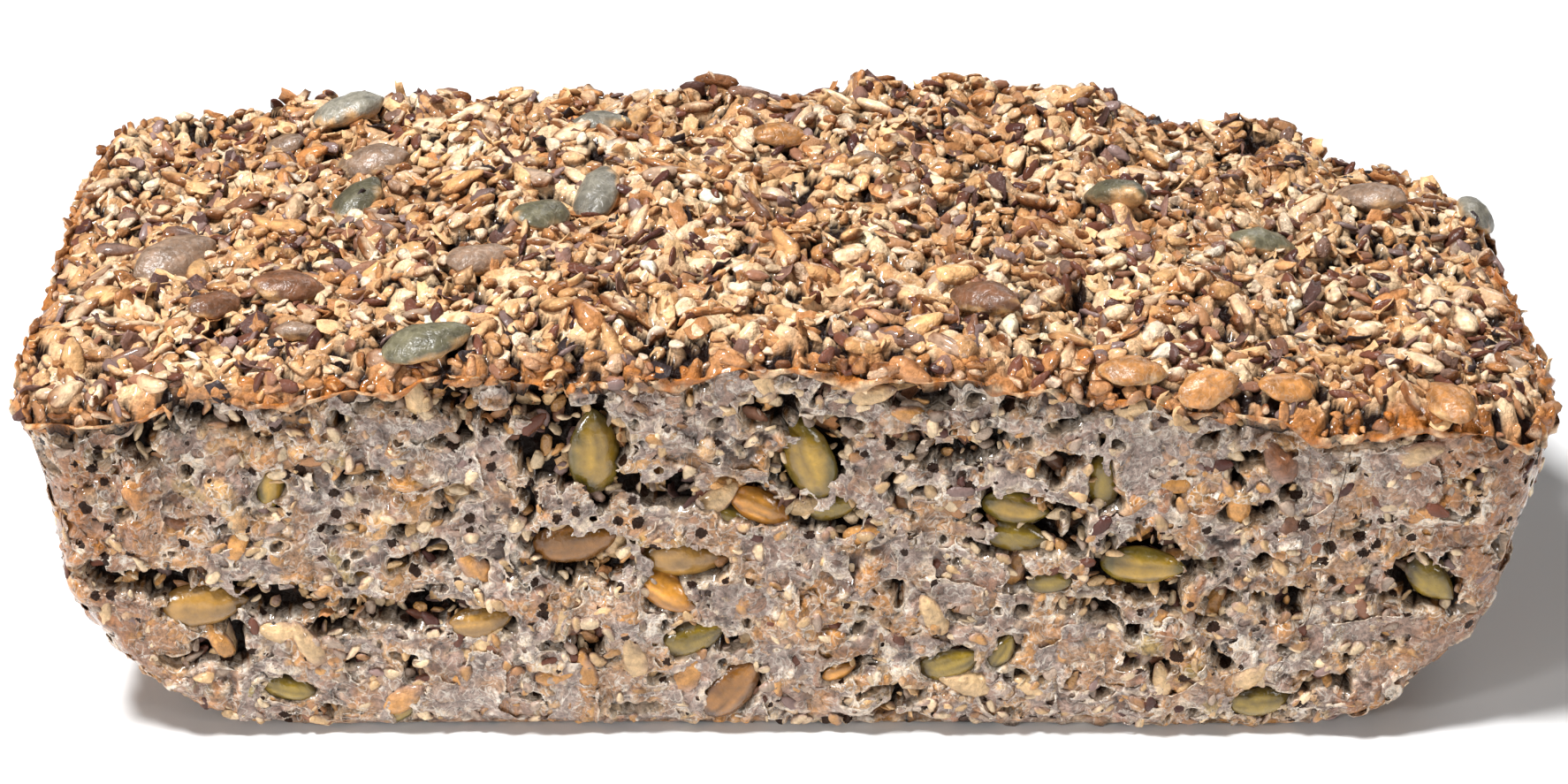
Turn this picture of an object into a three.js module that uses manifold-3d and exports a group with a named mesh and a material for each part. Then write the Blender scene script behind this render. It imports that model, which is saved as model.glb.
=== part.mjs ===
// A seeded loaf, baked in a long tin. The dough is so thick with seeds that it hardly rises: the tin
// gives it sloping walls with rounded foot corners, and the open top bakes to a craggy crust that
// stands a little proud of the walls. Pumpkin seeds show in torn hollows of the walls and lie on the
// crust among sunflower kernels. All of it is one baked piece.
// Millimetres. X runs along the loaf, -Y is the front, +Z is up, and the base is at Z = 0.
import * as THREE from "three";
import { mergeVertices } from "three/addons/utils/BufferGeometryUtils.js";
import Module from "manifold-3d";

// ---- Driving sizes ----
const LENGTH = 231; // along the rim
const WIDTH = 98; // across the rim
const FRONT_HEIGHT = 69; // rim at its crest, front wall
const BACK_HEIGHT = 71.5; // rim at its crest, back wall
const DOME = 2.5; // rise of the crust between front and back
const FRONT_CREST = { x: -26, left: 9, leftPower: 1.35, right: 13.5, rightPower: 2 };
const BACK_CREST = { x: 11, left: 10.5, leftPower: 1.7, right: 18, rightPower: 1.5 };
const CORNER = { frontLeft: 8, frontRight: 11, backLeft: 12, backRight: 31 }; // plan radii
const END_DRAFT = 0.15; // slope of the end walls
const SIDE_DRAFT = 0.06; // slope of the long walls
const END_FOOT = { out: 32, up: 28 }; // rounding of the end walls into the base
const SIDE_FOOT = { out: 5, up: 8 }; // rounding of the long walls into the base
const CRUST_LIP = { out: 1.1, band: 3.5, fade: 4 }; // the crust's edge, a band proud of the walls
const CRUST_EDGE = { in: 5.5, down: 3 }; // rounding of the crust into the rim
const CELL = 5.3; // mesh step of the crumb
const RING_SHIFT = 0.15; // draws the rings of the crust's mesh out towards the rim
const LEVEL_SHIFT = 0.07; // draws the levels of the walls' mesh towards the rim and the base
const TOP_LUMPS = { high: 1.5, wide: 16 };
const TOP_CRAGS = { high: 2, wide: 6.5 };
const WALL_WAVES = { high: 0.5, wide: 22, from: 2, full: 8 }; // from and full: heights above the base
const SLACK = { crumb: 0.2, torn: 0.15, loaf: 0.06 }; // detail too fine to keep, at each stage

const HALF_LENGTH = LENGTH / 2;
const HALF_WIDTH = WIDTH / 2;

// Half sizes of each kind of seed, and how many sides and bands its solid has.
const PUMPKIN = { long: 6.4, wide: 3.9, thick: 1.7, sides: 7, bands: 4, egg: 0.2 };
const SUNFLOWER = { long: 4.7, wide: 2.2, thick: 1.5, sides: 5, bands: 3, egg: 0.35 };

// Pumpkin seeds on the crust, where the eye finds them: place, turn about the vertical, size.
const CRUST_PUMPKINS = [
  { x: -73, y: 41, turn: 15, size: 1 },
  { x: -67, y: 20, turn: 0, size: 1 },
  { x: -68, y: 6, turn: 60, size: 0.95 },
  { x: -95, y: -10, turn: 40, size: 1.15 },
  { x: -76, y: -24, turn: 0, size: 0.9 },
  { x: -53, y: -45, turn: 12, size: 1.05 },
  { x: -31, y: 28, turn: 0, size: 0.85 },
  { x: -30, y: 4, turn: 80, size: 1 },
  { x: -38, y: -7, turn: 55, size: 0.95 },
  { x: -47, y: -18, turn: 20, size: 0.85 },
  { x: 52, y: 2, turn: -60, size: 1.05 },
  { x: 75, y: -1, turn: 10, size: 0.9 },
  { x: 95, y: 19, turn: -30, size: 1 },
  { x: 30, y: -32, turn: -35, size: 0.95 },
  { x: -1, y: 24, turn: 5, size: 0.75 },
  { x: 112, y: 20, turn: 75, size: 0.95 },
  { x: 51, y: -46, turn: 0, size: 0.8 },
  { x: 74, y: -45, turn: 20, size: 0.75 },
  { x: 98, y: -44, turn: -70, size: 0.9 },
];

// Torn hollows in the front wall: middle, size along and up the wall, turn.
const FRONT_HOLLOWS = [
  { x: -97, z: 29, long: 26, high: 5.5, turn: -8 },
  { x: -78, z: 25.5, long: 26, high: 6, turn: -10 },
  { x: -56, z: 23, long: 24, high: 6, turn: -5 },
  { x: -19, z: 45.5, long: 16, high: 7, turn: -12 },
  { x: -4, z: 42, long: 18, high: 8, turn: -16 },
  { x: 9, z: 39.5, long: 13, high: 7, turn: -10 },
  { x: -29, z: 51, long: 19, high: 11, turn: 88 },
  { x: 3, z: 50, long: 17, high: 11, turn: 72 },
  { x: -32, z: 34, long: 17, high: 11, turn: 6 },
  { x: -16, z: 31.5, long: 15, high: 7.5, turn: 0 },
  { x: 54, z: 31, long: 15, high: 11, turn: 0 },
  { x: 34.5, z: 38.5, long: 13, high: 12, turn: -8 },
  { x: 47, z: 46, long: 12, high: 6, turn: 85 },
  { x: 26, z: 53, long: 15, high: 5.5, turn: 18 },
  { x: 97, z: 28.5, long: 14, high: 10, turn: -30 },
];

// Pumpkin seeds that show in the front wall.
const FRONT_PUMPKINS = [
  { x: -29, z: 51, turn: 92, size: 1.12 },
  { x: 3, z: 50, turn: 108, size: 1.12 },
  { x: -32, z: 35, turn: 9, size: 1.02 },
  { x: -16, z: 31.5, turn: 0, size: 0.98 },
  { x: 54, z: 31, turn: 0, size: 0.98 },
  { x: 34.5, z: 41, turn: -11, size: 0.8 },
  { x: 34.5, z: 36, turn: -6, size: 0.75 },
  { x: 47, z: 46, turn: 88, size: 0.8 },
  { x: -4, z: 41, turn: -28, size: 0.75 },
  { x: 7, z: 41, turn: 17, size: 0.6 },
  { x: -61, z: 28, turn: 14, size: 0.95 },
  { x: -89, z: 24, turn: 6, size: 1 },
  { x: 98, z: 28, turn: -43, size: 0.75 },
];

// Seeds that stand out of the wall's lower part and its middle, nearly flush.
const FLUSH_PUMPKINS = [
  { x: -8.5, z: 8.5, turn: 53, size: 0.98 },
  { x: -18.5, z: 26.5, turn: -33, size: 0.8 },
  { x: -14.5, z: 18, turn: 22, size: 0.8 },
  { x: 25, z: 13, turn: 22, size: 0.8 },
  { x: -77, z: 8.5, turn: -11, size: 0.65 },
  { x: 40, z: 28.5, turn: 6, size: 0.55 },
  { x: -47, z: 21, turn: 11, size: 0.75 },
  { x: 73.5, z: 6, turn: 6, size: 0.8 },
];

// The walls away from the front carry fewer hollows, each with its seed, scattered by a rule:
// how many, and how far along the wall to either side of its middle.
const OTHER_WALLS = {
  back: { count: 8, reach: 92 },
  left: { count: 2, reach: 28 },
  right: { count: 2, reach: 26 },
};
const OTHER_HOLLOW = { low: 20, span: 30, long: 15, high: 9, turn: 60 };
const HOLLOW = { deep: 4.2, ragged: 0.22, tooth: 3 };
const SUNK = 2.5; // depth of a hollow's seed below the wall, at its middle
const FLUSH = 0.9; // the same for a seed that is nearly flush
const CRUST_LIE = { rise: 0.7, rock: 14 }; // how a pumpkin seed lies on the crust
const KERNELS = { x: 17.5, y: 16.2, margin: 1, rise: 0.6, rock: 60, clear: 8 }; // spacing and lie

const wasm = await Module();
wasm.setup();

// ---- Small mathematics ----
const clamp = (value, low, high) => Math.min(high, Math.max(low, value));
const radians = THREE.MathUtils.degToRad;

function randomSource(seed) {
  let state = seed;
  return () => {
    state = (Math.imul(state, 1664525) + 1013904223) >>> 0;
    return state / 2 ** 32;
  };
}

function latticeValue(i, j, k) {
  let h = Math.imul(i, 374761393) ^ Math.imul(j, 668265263) ^ Math.imul(k, 2147483647 - 58);
  h = Math.imul(h ^ (h >>> 13), 1274126177);
  return (((h ^ (h >>> 16)) >>> 0) / 2 ** 32) * 2 - 1;
}

// Smooth noise from -1 to 1 whose lumps are about `wide` across.
function noise(x, y, z, wide) {
  const place = [x, y, z].map((c) => c / wide + 100);
  const cell = place.map(Math.floor);
  const f = place.map((c, axis) => {
    const t = c - cell[axis];
    return t * t * (3 - 2 * t);
  });
  let sum = 0;
  for (let corner = 0; corner < 8; corner++) {
    const step = [corner & 1, (corner >> 1) & 1, (corner >> 2) & 1];
    const weight = step.reduce((w, s, axis) => w * (s ? f[axis] : 1 - f[axis]), 1);
    sum += weight * latticeValue(cell[0] + step[0], cell[1] + step[1], cell[2] + step[2]);
  }
  return sum;
}

// ---- The loaf's form ----
function drop(x, crest) {
  const left = clamp((crest.x - x) / (HALF_LENGTH + crest.x), 0, 1.2);
  const right = clamp((x - crest.x) / (HALF_LENGTH - crest.x), 0, 1.2);
  return crest.left * left ** crest.leftPower + crest.right * right ** crest.rightPower;
}

function smoothTop(x, y) {
  const across = clamp(y / HALF_WIDTH, -1, 1);
  const front = FRONT_HEIGHT - drop(x, FRONT_CREST);
  const back = BACK_HEIGHT - drop(x, BACK_CREST);
  const share = (across + 1) / 2;
  return front * (1 - share) + back * share + DOME * (1 - across * across);
}

function topSurface(x, y) {
  const lumps = TOP_LUMPS.high * noise(x, y, 0, TOP_LUMPS.wide);
  return smoothTop(x, y) + lumps + TOP_CRAGS.high * noise(x, y, 40, TOP_CRAGS.wide);
}

function cornerRadius(u, v) {
  if (v < 0) return u < 0 ? CORNER.frontLeft : CORNER.frontRight;
  return u < 0 ? CORNER.backLeft : CORNER.backRight;
}

// A point of the unit square's edge, laid on the rim's rounded rectangle.
function rimPlan(u, v) {
  const r = cornerRadius(u, v);
  const inner = new THREE.Vector2(HALF_LENGTH - r, HALF_WIDTH - r);
  const size = new THREE.Vector2(Math.abs(u) * HALF_LENGTH, Math.abs(v) * HALF_WIDTH);
  if (size.x > inner.x && size.y > inner.y) {
    const arm = size.clone().sub(inner).normalize().multiplyScalar(r);
    size.copy(inner.add(arm));
  }
  return new THREE.Vector2(Math.sign(u) * size.x, Math.sign(v) * size.y);
}

function footInset(z, foot) {
  const depth = clamp((foot.up - z) / foot.up, 0, 1);
  return foot.out * (1 - Math.sqrt(1 - depth * depth));
}

// How far the walls stand in from the rim at height z: along the loaf, and across it.
function wallScale(z, rimZ) {
  const below = Math.max(rimZ - z - CRUST_LIP.band, 0);
  const lip = CRUST_LIP.out * THREE.MathUtils.smoothstep(below, 0, CRUST_LIP.fade);
  const along = HALF_LENGTH - lip - END_DRAFT * below - footInset(z, END_FOOT);
  const across = HALF_WIDTH - lip - SIDE_DRAFT * below - footInset(z, SIDE_FOOT);
  return new THREE.Vector2(along / HALF_LENGTH, across / HALF_WIDTH);
}

function wallWave(x, y, z) {
  const fade = clamp((z - WALL_WAVES.from) / (WALL_WAVES.full - WALL_WAVES.from), 0, 1);
  return 1 + (fade * WALL_WAVES.high * noise(x, y, z, WALL_WAVES.wide)) / HALF_WIDTH;
}

function frontWall(x, z) {
  const rimZ = smoothTop(x, -HALF_WIDTH) - CRUST_EDGE.down;
  const y = -HALF_WIDTH * wallScale(z, rimZ).y;
  return y * wallWave(x, y, z);
}

// A vertex of the unit box, carried to the loaf's surface.
function loafPoint(u, v, w) {
  const ring = Math.max(Math.abs(u), Math.abs(v));
  if (ring < 1e-6) return new THREE.Vector3(0, 0, w > 0 ? topSurface(0, 0) : 0);
  const rim = rimPlan(u / ring, v / ring);
  const onWall = ring > 1 - 1e-6;
  const reach = onWall ? 1 : ring + RING_SHIFT * Math.sin(Math.PI * ring);
  if (!onWall && w > 0) {
    const plan = rim.clone().multiplyScalar(reach);
    const inward = rim.length() * (1 - reach);
    const fall = clamp(1 - inward / CRUST_EDGE.in, 0, 1);
    const z = topSurface(plan.x, plan.y) - CRUST_EDGE.down * fall * fall;
    return new THREE.Vector3(plan.x, plan.y, z);
  }
  const even = (w + 1) / 2;
  const level = even - LEVEL_SHIFT * Math.sin(2 * Math.PI * even);
  const rimZ = topSurface(rim.x, rim.y) - CRUST_EDGE.down;
  const z = level * rimZ;
  const scale = wallScale(z, rimZ);
  const wall = new THREE.Vector2(rim.x * scale.x, rim.y * scale.y).multiplyScalar(reach);
  return new THREE.Vector3(wall.x, wall.y, z).multiply(
    new THREE.Vector3(wallWave(wall.x, wall.y, z), wallWave(wall.x, wall.y, z), 1),
  );
}

// ---- Solids ----
function solid(geometry) {
  const bare = geometry.clone();
  bare.deleteAttribute("normal");
  bare.deleteAttribute("uv");
  const merged = mergeVertices(bare, 1e-4);
  return new wasm.Manifold(
    new wasm.Mesh({
      numProp: 3,
      vertProperties: merged.attributes.position.array,
      triVerts: new Uint32Array(merged.index.array),
    }),
  );
}

function crumb() {
  const steps = [LENGTH, WIDTH, FRONT_HEIGHT].map((size) => Math.round(size / CELL));
  const box = new THREE.BoxGeometry(2, 2, 2, ...steps);
  const corners = box.attributes.position;
  for (let i = 0; i < corners.count; i++) {
    const at = loafPoint(corners.getX(i), corners.getY(i), corners.getZ(i));
    corners.setXYZ(i, at.x, at.y, at.z);
  }
  return solid(box);
}

// An egg-shaped seed, long in Y and flat in Z.
function seedGeometry(kind, size) {
  const seed = new THREE.SphereGeometry(1, kind.sides, kind.bands);
  const at = seed.attributes.position;
  for (let i = 0; i < at.count; i++) {
    const narrow = 1 - kind.egg * at.getY(i);
    at.setXYZ(
      i,
      at.getX(i) * kind.wide * narrow * size,
      at.getY(i) * kind.long * size,
      at.getZ(i) * kind.thick * size,
    );
  }
  return seed;
}

// Lays a seed at a point, its flat side along the surface, turned in that surface and rocked.
function lie(geometry, point, normal, turn, rock = 0) {
  const flat = new THREE.Quaternion().setFromUnitVectors(new THREE.Vector3(0, 0, 1), normal);
  const spin = new THREE.Quaternion().setFromAxisAngle(new THREE.Vector3(0, 0, 1), turn);
  const tip = new THREE.Quaternion().setFromAxisAngle(new THREE.Vector3(1, 0, 0), rock);
  const place = new THREE.Matrix4().makeRotationFromQuaternion(flat.multiply(spin).multiply(tip));
  place.setPosition(point);
  return solid(geometry.applyMatrix4(place));
}

function topNormal(x, y) {
  const step = 3;
  const alongSlope = (smoothTop(x + step, y) - smoothTop(x - step, y)) / (2 * step);
  const acrossSlope = (smoothTop(x, y + step) - smoothTop(x, y - step)) / (2 * step);
  return new THREE.Vector3(-alongSlope, -acrossSlope, 1).normalize();
}

function onCrust(kind, x, y, turn, size, rise, rock) {
  const normal = topNormal(x, y);
  const point = new THREE.Vector3(x, y, topSurface(x, y) + rise);
  return lie(seedGeometry(kind, size), point, normal, turn, rock);
}

// True where the crust is at least `margin` inside the rim.
function insideRim(x, y, margin) {
  const reach = Math.max(Math.abs(x) / HALF_LENGTH, Math.abs(y) / HALF_WIDTH);
  const rim = rimPlan(x / HALF_LENGTH / reach, y / HALF_WIDTH / reach);
  return rim.length() - Math.hypot(x, y) > margin;
}

function crustSeeds() {
  const random = randomSource(7);
  const seeds = CRUST_PUMPKINS.map(({ x, y, turn, size }) => {
    const rock = radians(CRUST_LIE.rock * (random() - 0.5));
    return onCrust(PUMPKIN, x, y, radians(turn - 90), size, CRUST_LIE.rise, rock);
  });
  for (let x = -HALF_LENGTH; x < HALF_LENGTH; x += KERNELS.x) {
    for (let y = -HALF_WIDTH; y < HALF_WIDTH; y += KERNELS.y) {
      const px = x + KERNELS.x * random();
      const py = y + KERNELS.y * random();
      const turn = Math.PI * random();
      const size = 0.85 + 0.3 * random();
      const rock = radians(KERNELS.rock * (random() - 0.5));
      const taken = CRUST_PUMPKINS.some((p) => Math.hypot(p.x - px, p.y - py) < KERNELS.clear);
      if (taken || !insideRim(px, py, KERNELS.margin)) continue;
      seeds.push(onCrust(SUNFLOWER, px, py, turn, size, KERNELS.rise, rock));
    }
  }
  return seeds;
}

// A ragged blob that tears a hollow into a wall; long in X, high in Z, deep in Y.
function hollowGeometry(long, high) {
  const blob = new THREE.SphereGeometry(1, 7, 4).rotateX(Math.PI / 2);
  const at = blob.attributes.position;
  for (let i = 0; i < at.count; i++) {
    const place = new THREE.Vector3().fromBufferAttribute(at, i);
    const tear = noise(place.x * long, place.y * long, place.z * high, HOLLOW.tooth);
    const size = (1 + HOLLOW.ragged * tear) / 2;
    at.setXYZ(i, place.x * long * size, place.y * HOLLOW.deep, place.z * high * size);
  }
  return blob;
}

const FACE_TURN = { front: 0, right: 90, back: 180, left: 270 };

// Moves something made for the front wall, at (x, 0, z), to its own wall: y is the wall's place.
function onWall(geometry, along, z, turn, face, outward) {
  geometry.rotateY(-radians(turn));
  geometry.translate(along, -outward, z);
  geometry.rotateZ(radians(FACE_TURN[face]));
  return solid(geometry);
}

function wallDistance(face, along, z) {
  if (face === "front" || face === "back") return -frontWall(along, z);
  const rimZ = smoothTop(face === "left" ? -HALF_LENGTH : HALF_LENGTH, 0) - CRUST_EDGE.down;
  return HALF_LENGTH * wallScale(z, rimZ).x;
}

function wallHollow(face, { along, z, long, high, turn }) {
  return onWall(hollowGeometry(long, high), along, z, turn, face, wallDistance(face, along, z));
}

function wallPumpkin(face, { along, z, turn, size }, sunk) {
  const seed = seedGeometry(PUMPKIN, size).rotateX(-Math.PI / 2).rotateY(-Math.PI / 2);
  return onWall(seed, along, z, turn, face, wallDistance(face, along, z) - sunk);
}

// Hollows with a seed each, spread along a wall that isn't seen from the front.
function scatteredHollows(random) {
  return Object.entries(OTHER_WALLS).flatMap(([face, { count, reach }]) =>
    Array.from({ length: count }, (_, i) => ({
      face,
      along: reach * (((i + 0.25 + 0.5 * random()) / count) * 2 - 1),
      z: OTHER_HOLLOW.low + OTHER_HOLLOW.span * ((i * 0.618 + 0.3 * random()) % 1),
      long: OTHER_HOLLOW.long + 5 * random(),
      high: OTHER_HOLLOW.high + 3 * random(),
      turn: OTHER_HOLLOW.turn * (random() - 0.5),
      size: 0.9 + 0.2 * random(),
    })),
  );
}

function buildLoaf() {
  const scattered = scatteredHollows(randomSource(21));
  const front = (list) => list.map(({ x, ...rest }) => ({ along: x, ...rest }));
  const hollows = [
    ...front(FRONT_HOLLOWS).map((hollow) => wallHollow("front", hollow)),
    ...scattered.map((hollow) => wallHollow(hollow.face, hollow)),
  ];
  const seeds = [
    ...front(FRONT_PUMPKINS).map((seed) => wallPumpkin("front", seed, SUNK)),
    ...front(FLUSH_PUMPKINS).map((seed) => wallPumpkin("front", seed, FLUSH)),
    ...scattered.map((seed) => wallPumpkin(seed.face, seed, SUNK)),
    ...crustSeeds(),
  ];
  const bare = crumb().simplify(SLACK.crumb);
  const torn = bare.subtract(wasm.Manifold.union(hollows)).simplify(SLACK.torn);
  const pieces = wasm.Manifold.union([torn, ...seeds]).simplify(SLACK.loaf).decompose();
  return pieces.reduce((most, piece) => (piece.volume() > most.volume() ? piece : most));
}

function toGeometry(manifold) {
  const mesh = manifold.getMesh();
  const geometry = new THREE.BufferGeometry();
  geometry.setAttribute("position", new THREE.BufferAttribute(mesh.vertProperties, 3));
  geometry.setIndex(new THREE.BufferAttribute(mesh.triVerts, 1));
  geometry.computeBoundingBox();
  const middle = geometry.boundingBox.getCenter(new THREE.Vector3());
  geometry.translate(-middle.x, -middle.y, -geometry.boundingBox.min.z);
  geometry.computeVertexNormals();
  return geometry;
}

const bakedCrust = new THREE.MeshStandardMaterial({ color: 0xc79a68, roughness: 0.85, metalness: 0 });
const loaf = new THREE.Mesh(toGeometry(buildLoaf()), bakedCrust);
loaf.name = "loaf";

const group = new THREE.Group();
group.add(loaf);

export default group;
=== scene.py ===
import math

import bmesh
import bpy
import numpy as np
from mathutils import Matrix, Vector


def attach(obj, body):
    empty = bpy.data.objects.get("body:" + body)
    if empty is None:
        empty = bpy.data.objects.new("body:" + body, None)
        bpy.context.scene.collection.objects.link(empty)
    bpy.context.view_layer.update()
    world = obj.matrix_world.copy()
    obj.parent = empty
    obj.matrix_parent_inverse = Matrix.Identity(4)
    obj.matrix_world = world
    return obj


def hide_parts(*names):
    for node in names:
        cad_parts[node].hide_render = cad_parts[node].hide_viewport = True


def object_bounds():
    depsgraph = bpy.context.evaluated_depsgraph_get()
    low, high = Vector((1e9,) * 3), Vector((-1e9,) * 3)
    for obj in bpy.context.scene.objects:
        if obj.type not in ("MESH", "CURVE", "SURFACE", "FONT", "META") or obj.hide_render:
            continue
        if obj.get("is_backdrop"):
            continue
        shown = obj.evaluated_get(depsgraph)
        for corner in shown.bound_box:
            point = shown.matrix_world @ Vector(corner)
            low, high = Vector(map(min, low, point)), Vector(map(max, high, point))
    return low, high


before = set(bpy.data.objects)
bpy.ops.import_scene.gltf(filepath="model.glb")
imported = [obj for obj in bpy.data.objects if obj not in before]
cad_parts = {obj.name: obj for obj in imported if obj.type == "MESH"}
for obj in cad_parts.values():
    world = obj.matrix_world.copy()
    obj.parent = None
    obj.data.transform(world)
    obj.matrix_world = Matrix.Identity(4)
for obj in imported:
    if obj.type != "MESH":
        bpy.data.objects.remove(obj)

solid_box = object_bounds()

# ------------------------
# The crumb. A heavy dough of seeds, pressed into a long tin, hardly rises. Against the tin it is
# moulded flat, under a thin grey-mauve skin that glistens; the skin is torn in places, so hollows
# open behind it with ragged edges. Sizes are in mm, from the middle of the tin.
TIN_MIDDLE = np.array([-0.96, 0.56, 0])  # seeds that stand out at one end shift the box's middle
HALF_LENGTH = 115.5
HALF_WIDTH = 49.0
FRONT_HEIGHT = 69.0
BACK_HEIGHT = 71.5
DOME = 2.5
FRONT_CREST = {"x": -26, "left": 9, "left_power": 1.35, "right": 13.5, "right_power": 2}
BACK_CREST = {"x": 11, "left": 10.5, "left_power": 1.7, "right": 18, "right_power": 1.5}
CORNERS = {"front_left": 8, "front_right": 11, "back_left": 12, "back_right": 31}
END_DRAFT = 0.15
SIDE_DRAFT = 0.06
END_FOOT = {"out": 32, "up": 28}
SIDE_FOOT = {"out": 5, "up": 8}
LIP = {"out": 1.1, "band": 3.5}
CRUST_EDGE = {"inside": 5.5, "down": 3}
WALL_WAVES = {"high": 0.5, "wide": 22, "from": 2, "full": 8}


def lattice(corner):
    """A fixed value from -1 to 1 for each corner of a grid in space."""
    i, j, k = (corner[..., axis].astype(np.uint32) for axis in range(3))
    mixed = (i * np.uint32(374761393)) ^ (j * np.uint32(668265263)) ^ (k * np.uint32(2147483589))
    mixed = (mixed ^ (mixed >> np.uint32(13))) * np.uint32(1274126177)
    return (mixed ^ (mixed >> np.uint32(16))) / 2.0**31 - 1


def noise(at, wide):
    """Smooth lumps about `wide` mm across, from -1 to 1, at places in mm. A number added to the
    places, such as 40 or 710, only picks another stretch of the same noise."""
    place = at / wide + 100
    cell = np.floor(place)
    ease = (place - cell) ** 2 * (3 - 2 * (place - cell))
    total = np.zeros(at.shape[:-1])
    for step in np.ndindex(2, 2, 2):
        near = np.where(np.array(step) == 1, ease, 1 - ease)
        total += near.prod(axis=-1) * lattice(cell + step)
    return total


def rough(at, wide):
    """Noise with two finer layers on it."""
    return (noise(at, wide) + 0.5 * noise(at + 31.7, wide / 2) + 0.25 * noise(at + 67.3, wide / 4)) / 1.4


def smooth_step(value, low, high):
    share = np.clip((value - low) / (high - low), 0, 1)
    return share * share * (3 - 2 * share)


def stack(*axes):
    return np.stack(np.broadcast_arrays(*axes), axis=-1).astype(float)


def unit(vectors):
    return vectors / np.maximum(np.linalg.norm(vectors, axis=-1, keepdims=True), 1e-9)


def fall(x, crest):
    left = np.clip((crest["x"] - x) / (HALF_LENGTH + crest["x"]), 0, 1.2)
    right = np.clip((x - crest["x"]) / (HALF_LENGTH - crest["x"]), 0, 1.2)
    return crest["left"] * left ** crest["left_power"] + crest["right"] * right ** crest["right_power"]


def smooth_top(x, y):
    across = np.clip(y / HALF_WIDTH, -1, 1)
    front = FRONT_HEIGHT - fall(x, FRONT_CREST)
    back = BACK_HEIGHT - fall(x, BACK_CREST)
    share = (across + 1) / 2
    return front * (1 - share) + back * share + DOME * (1 - across**2)


def top_surface(x, y):
    lumps = 1.5 * noise(stack(x, y, 0), 16)
    return smooth_top(x, y) + lumps + 2 * noise(stack(x, y, 40), 6.5)


def rim_plan(u, v):
    """A point of the unit square's edge, laid on the rim's rounded rectangle."""
    front = np.where(u < 0, CORNERS["front_left"], CORNERS["front_right"])
    back = np.where(u < 0, CORNERS["back_left"], CORNERS["back_right"])
    radius = np.where(v < 0, front, back)
    size = stack(abs(u) * HALF_LENGTH, abs(v) * HALF_WIDTH)
    inner = stack(HALF_LENGTH - radius, HALF_WIDTH - radius)
    rounded = inner + unit(size - inner) * radius[..., None]
    in_corner = (size > inner).all(axis=-1, keepdims=True)
    return np.where(in_corner, rounded, size) * stack(np.sign(u), np.sign(v))


def foot_inset(z, foot):
    depth = np.clip((foot["up"] - z) / foot["up"], 0, 1)
    return foot["out"] * (1 - np.sqrt(1 - depth**2))


def wall_point(rim, z, lip=0.0):
    """The wall below a point of the rim; lip is how much of the crust's lip it carries."""
    rim_z = top_surface(rim[..., 0], rim[..., 1]) - CRUST_EDGE["down"]
    below = np.maximum(rim_z - z - LIP["band"], 0)
    inset = LIP["out"] * (1 - lip)
    along = 1 - (inset + END_DRAFT * below + foot_inset(z, END_FOOT)) / HALF_LENGTH
    across = 1 - (inset + SIDE_DRAFT * below + foot_inset(z, SIDE_FOOT)) / HALF_WIDTH
    at = stack(rim[..., 0] * along, rim[..., 1] * across, z)
    calm = np.clip((z - WALL_WAVES["from"]) / (WALL_WAVES["full"] - WALL_WAVES["from"]), 0, 1)
    wave = 1 + calm * WALL_WAVES["high"] * noise(at, WALL_WAVES["wide"]) / HALF_WIDTH
    at[..., :2] *= wave[..., None]
    return at


COLUMNS = 860
WALL_ROWS = 104
CELL = 0.5
BASE_RINGS = [0.1, 0.3, 0.5, 0.68, 0.82, 0.93]
COVERED_RINGS = [0.98, 0.9, 0.6, 0.1]
COVERED_DEPTH = 3.5
COLUMN_STEP = {"front": 0.55, "back": 0.8, "end": 0.85}
HOLLOW_DEPTH = 4.2
TEAR_DEPTH = 2.5
SAME_WALL = 14  # a place this far in or out from a hollow's middle is on another wall
FAR_OUTSIDE = -9
SNAP = 0.38  # how near to a torn edge a vertex is moved onto it

FRONT_HOLLOWS = [  # place, size along and up the wall, turn
    (-97, 29, 26, 5.5, -8), (-78, 25.5, 26, 6, -10), (-56, 23, 24, 6, -5), (-19, 45.5, 16, 7, -12),
    (-4, 42, 18, 8, -16), (9, 39.5, 13, 7, -10), (-29, 51, 19, 11, 88), (3, 50, 17, 11, 72),
    (-32, 34, 17, 11, 6), (-16, 31.5, 15, 7.5, 0), (54, 31, 15, 11, 0), (34.5, 38.5, 13, 12, -8),
    (47, 46, 12, 6, 85), (26, 53, 15, 5.5, 18), (97, 28.5, 14, 10, -30),
]


def paint(*shade):
    """A colour from 0-255 screen values, as the linear values that a shader takes."""
    value = np.array(shade, float) / 255
    return np.where(value <= 0.04045, value / 12.92, ((value + 0.055) / 1.055) ** 2.4)


def shades(*rows):
    """Colours and how common each is, from rows of three screen values and a share."""
    return [(paint(*row[:3]), row[3]) for row in rows]


def choose(colours, count, seeded):
    """Which of the colours each of many seeds or lumps has."""
    shares = np.array([share for _, share in colours], float)
    return seeded.choice(len(colours), count, p=shares / shares.sum())


def blend_colours(low, high, share):
    return low + (high - low) * np.clip(share, 0, 1)[..., None]


PUMPKIN = {"long": 12.8, "wide": 7.8, "thick": 3.6}
SUNK = 2.3
FLUSH = 1.0
WINDOW = 0.92  # the opening over a flush seed, as a share of the seed's size
OLIVE = (paint(152, 118, 32), paint(92, 78, 16))
GREEN = (paint(130, 106, 26), paint(80, 64, 12))
AMBER = (paint(196, 134, 50), paint(148, 94, 26))
TAWNY = (paint(144, 94, 30), paint(100, 62, 16))
STRAW = (paint(156, 116, 54), paint(118, 84, 34))

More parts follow.
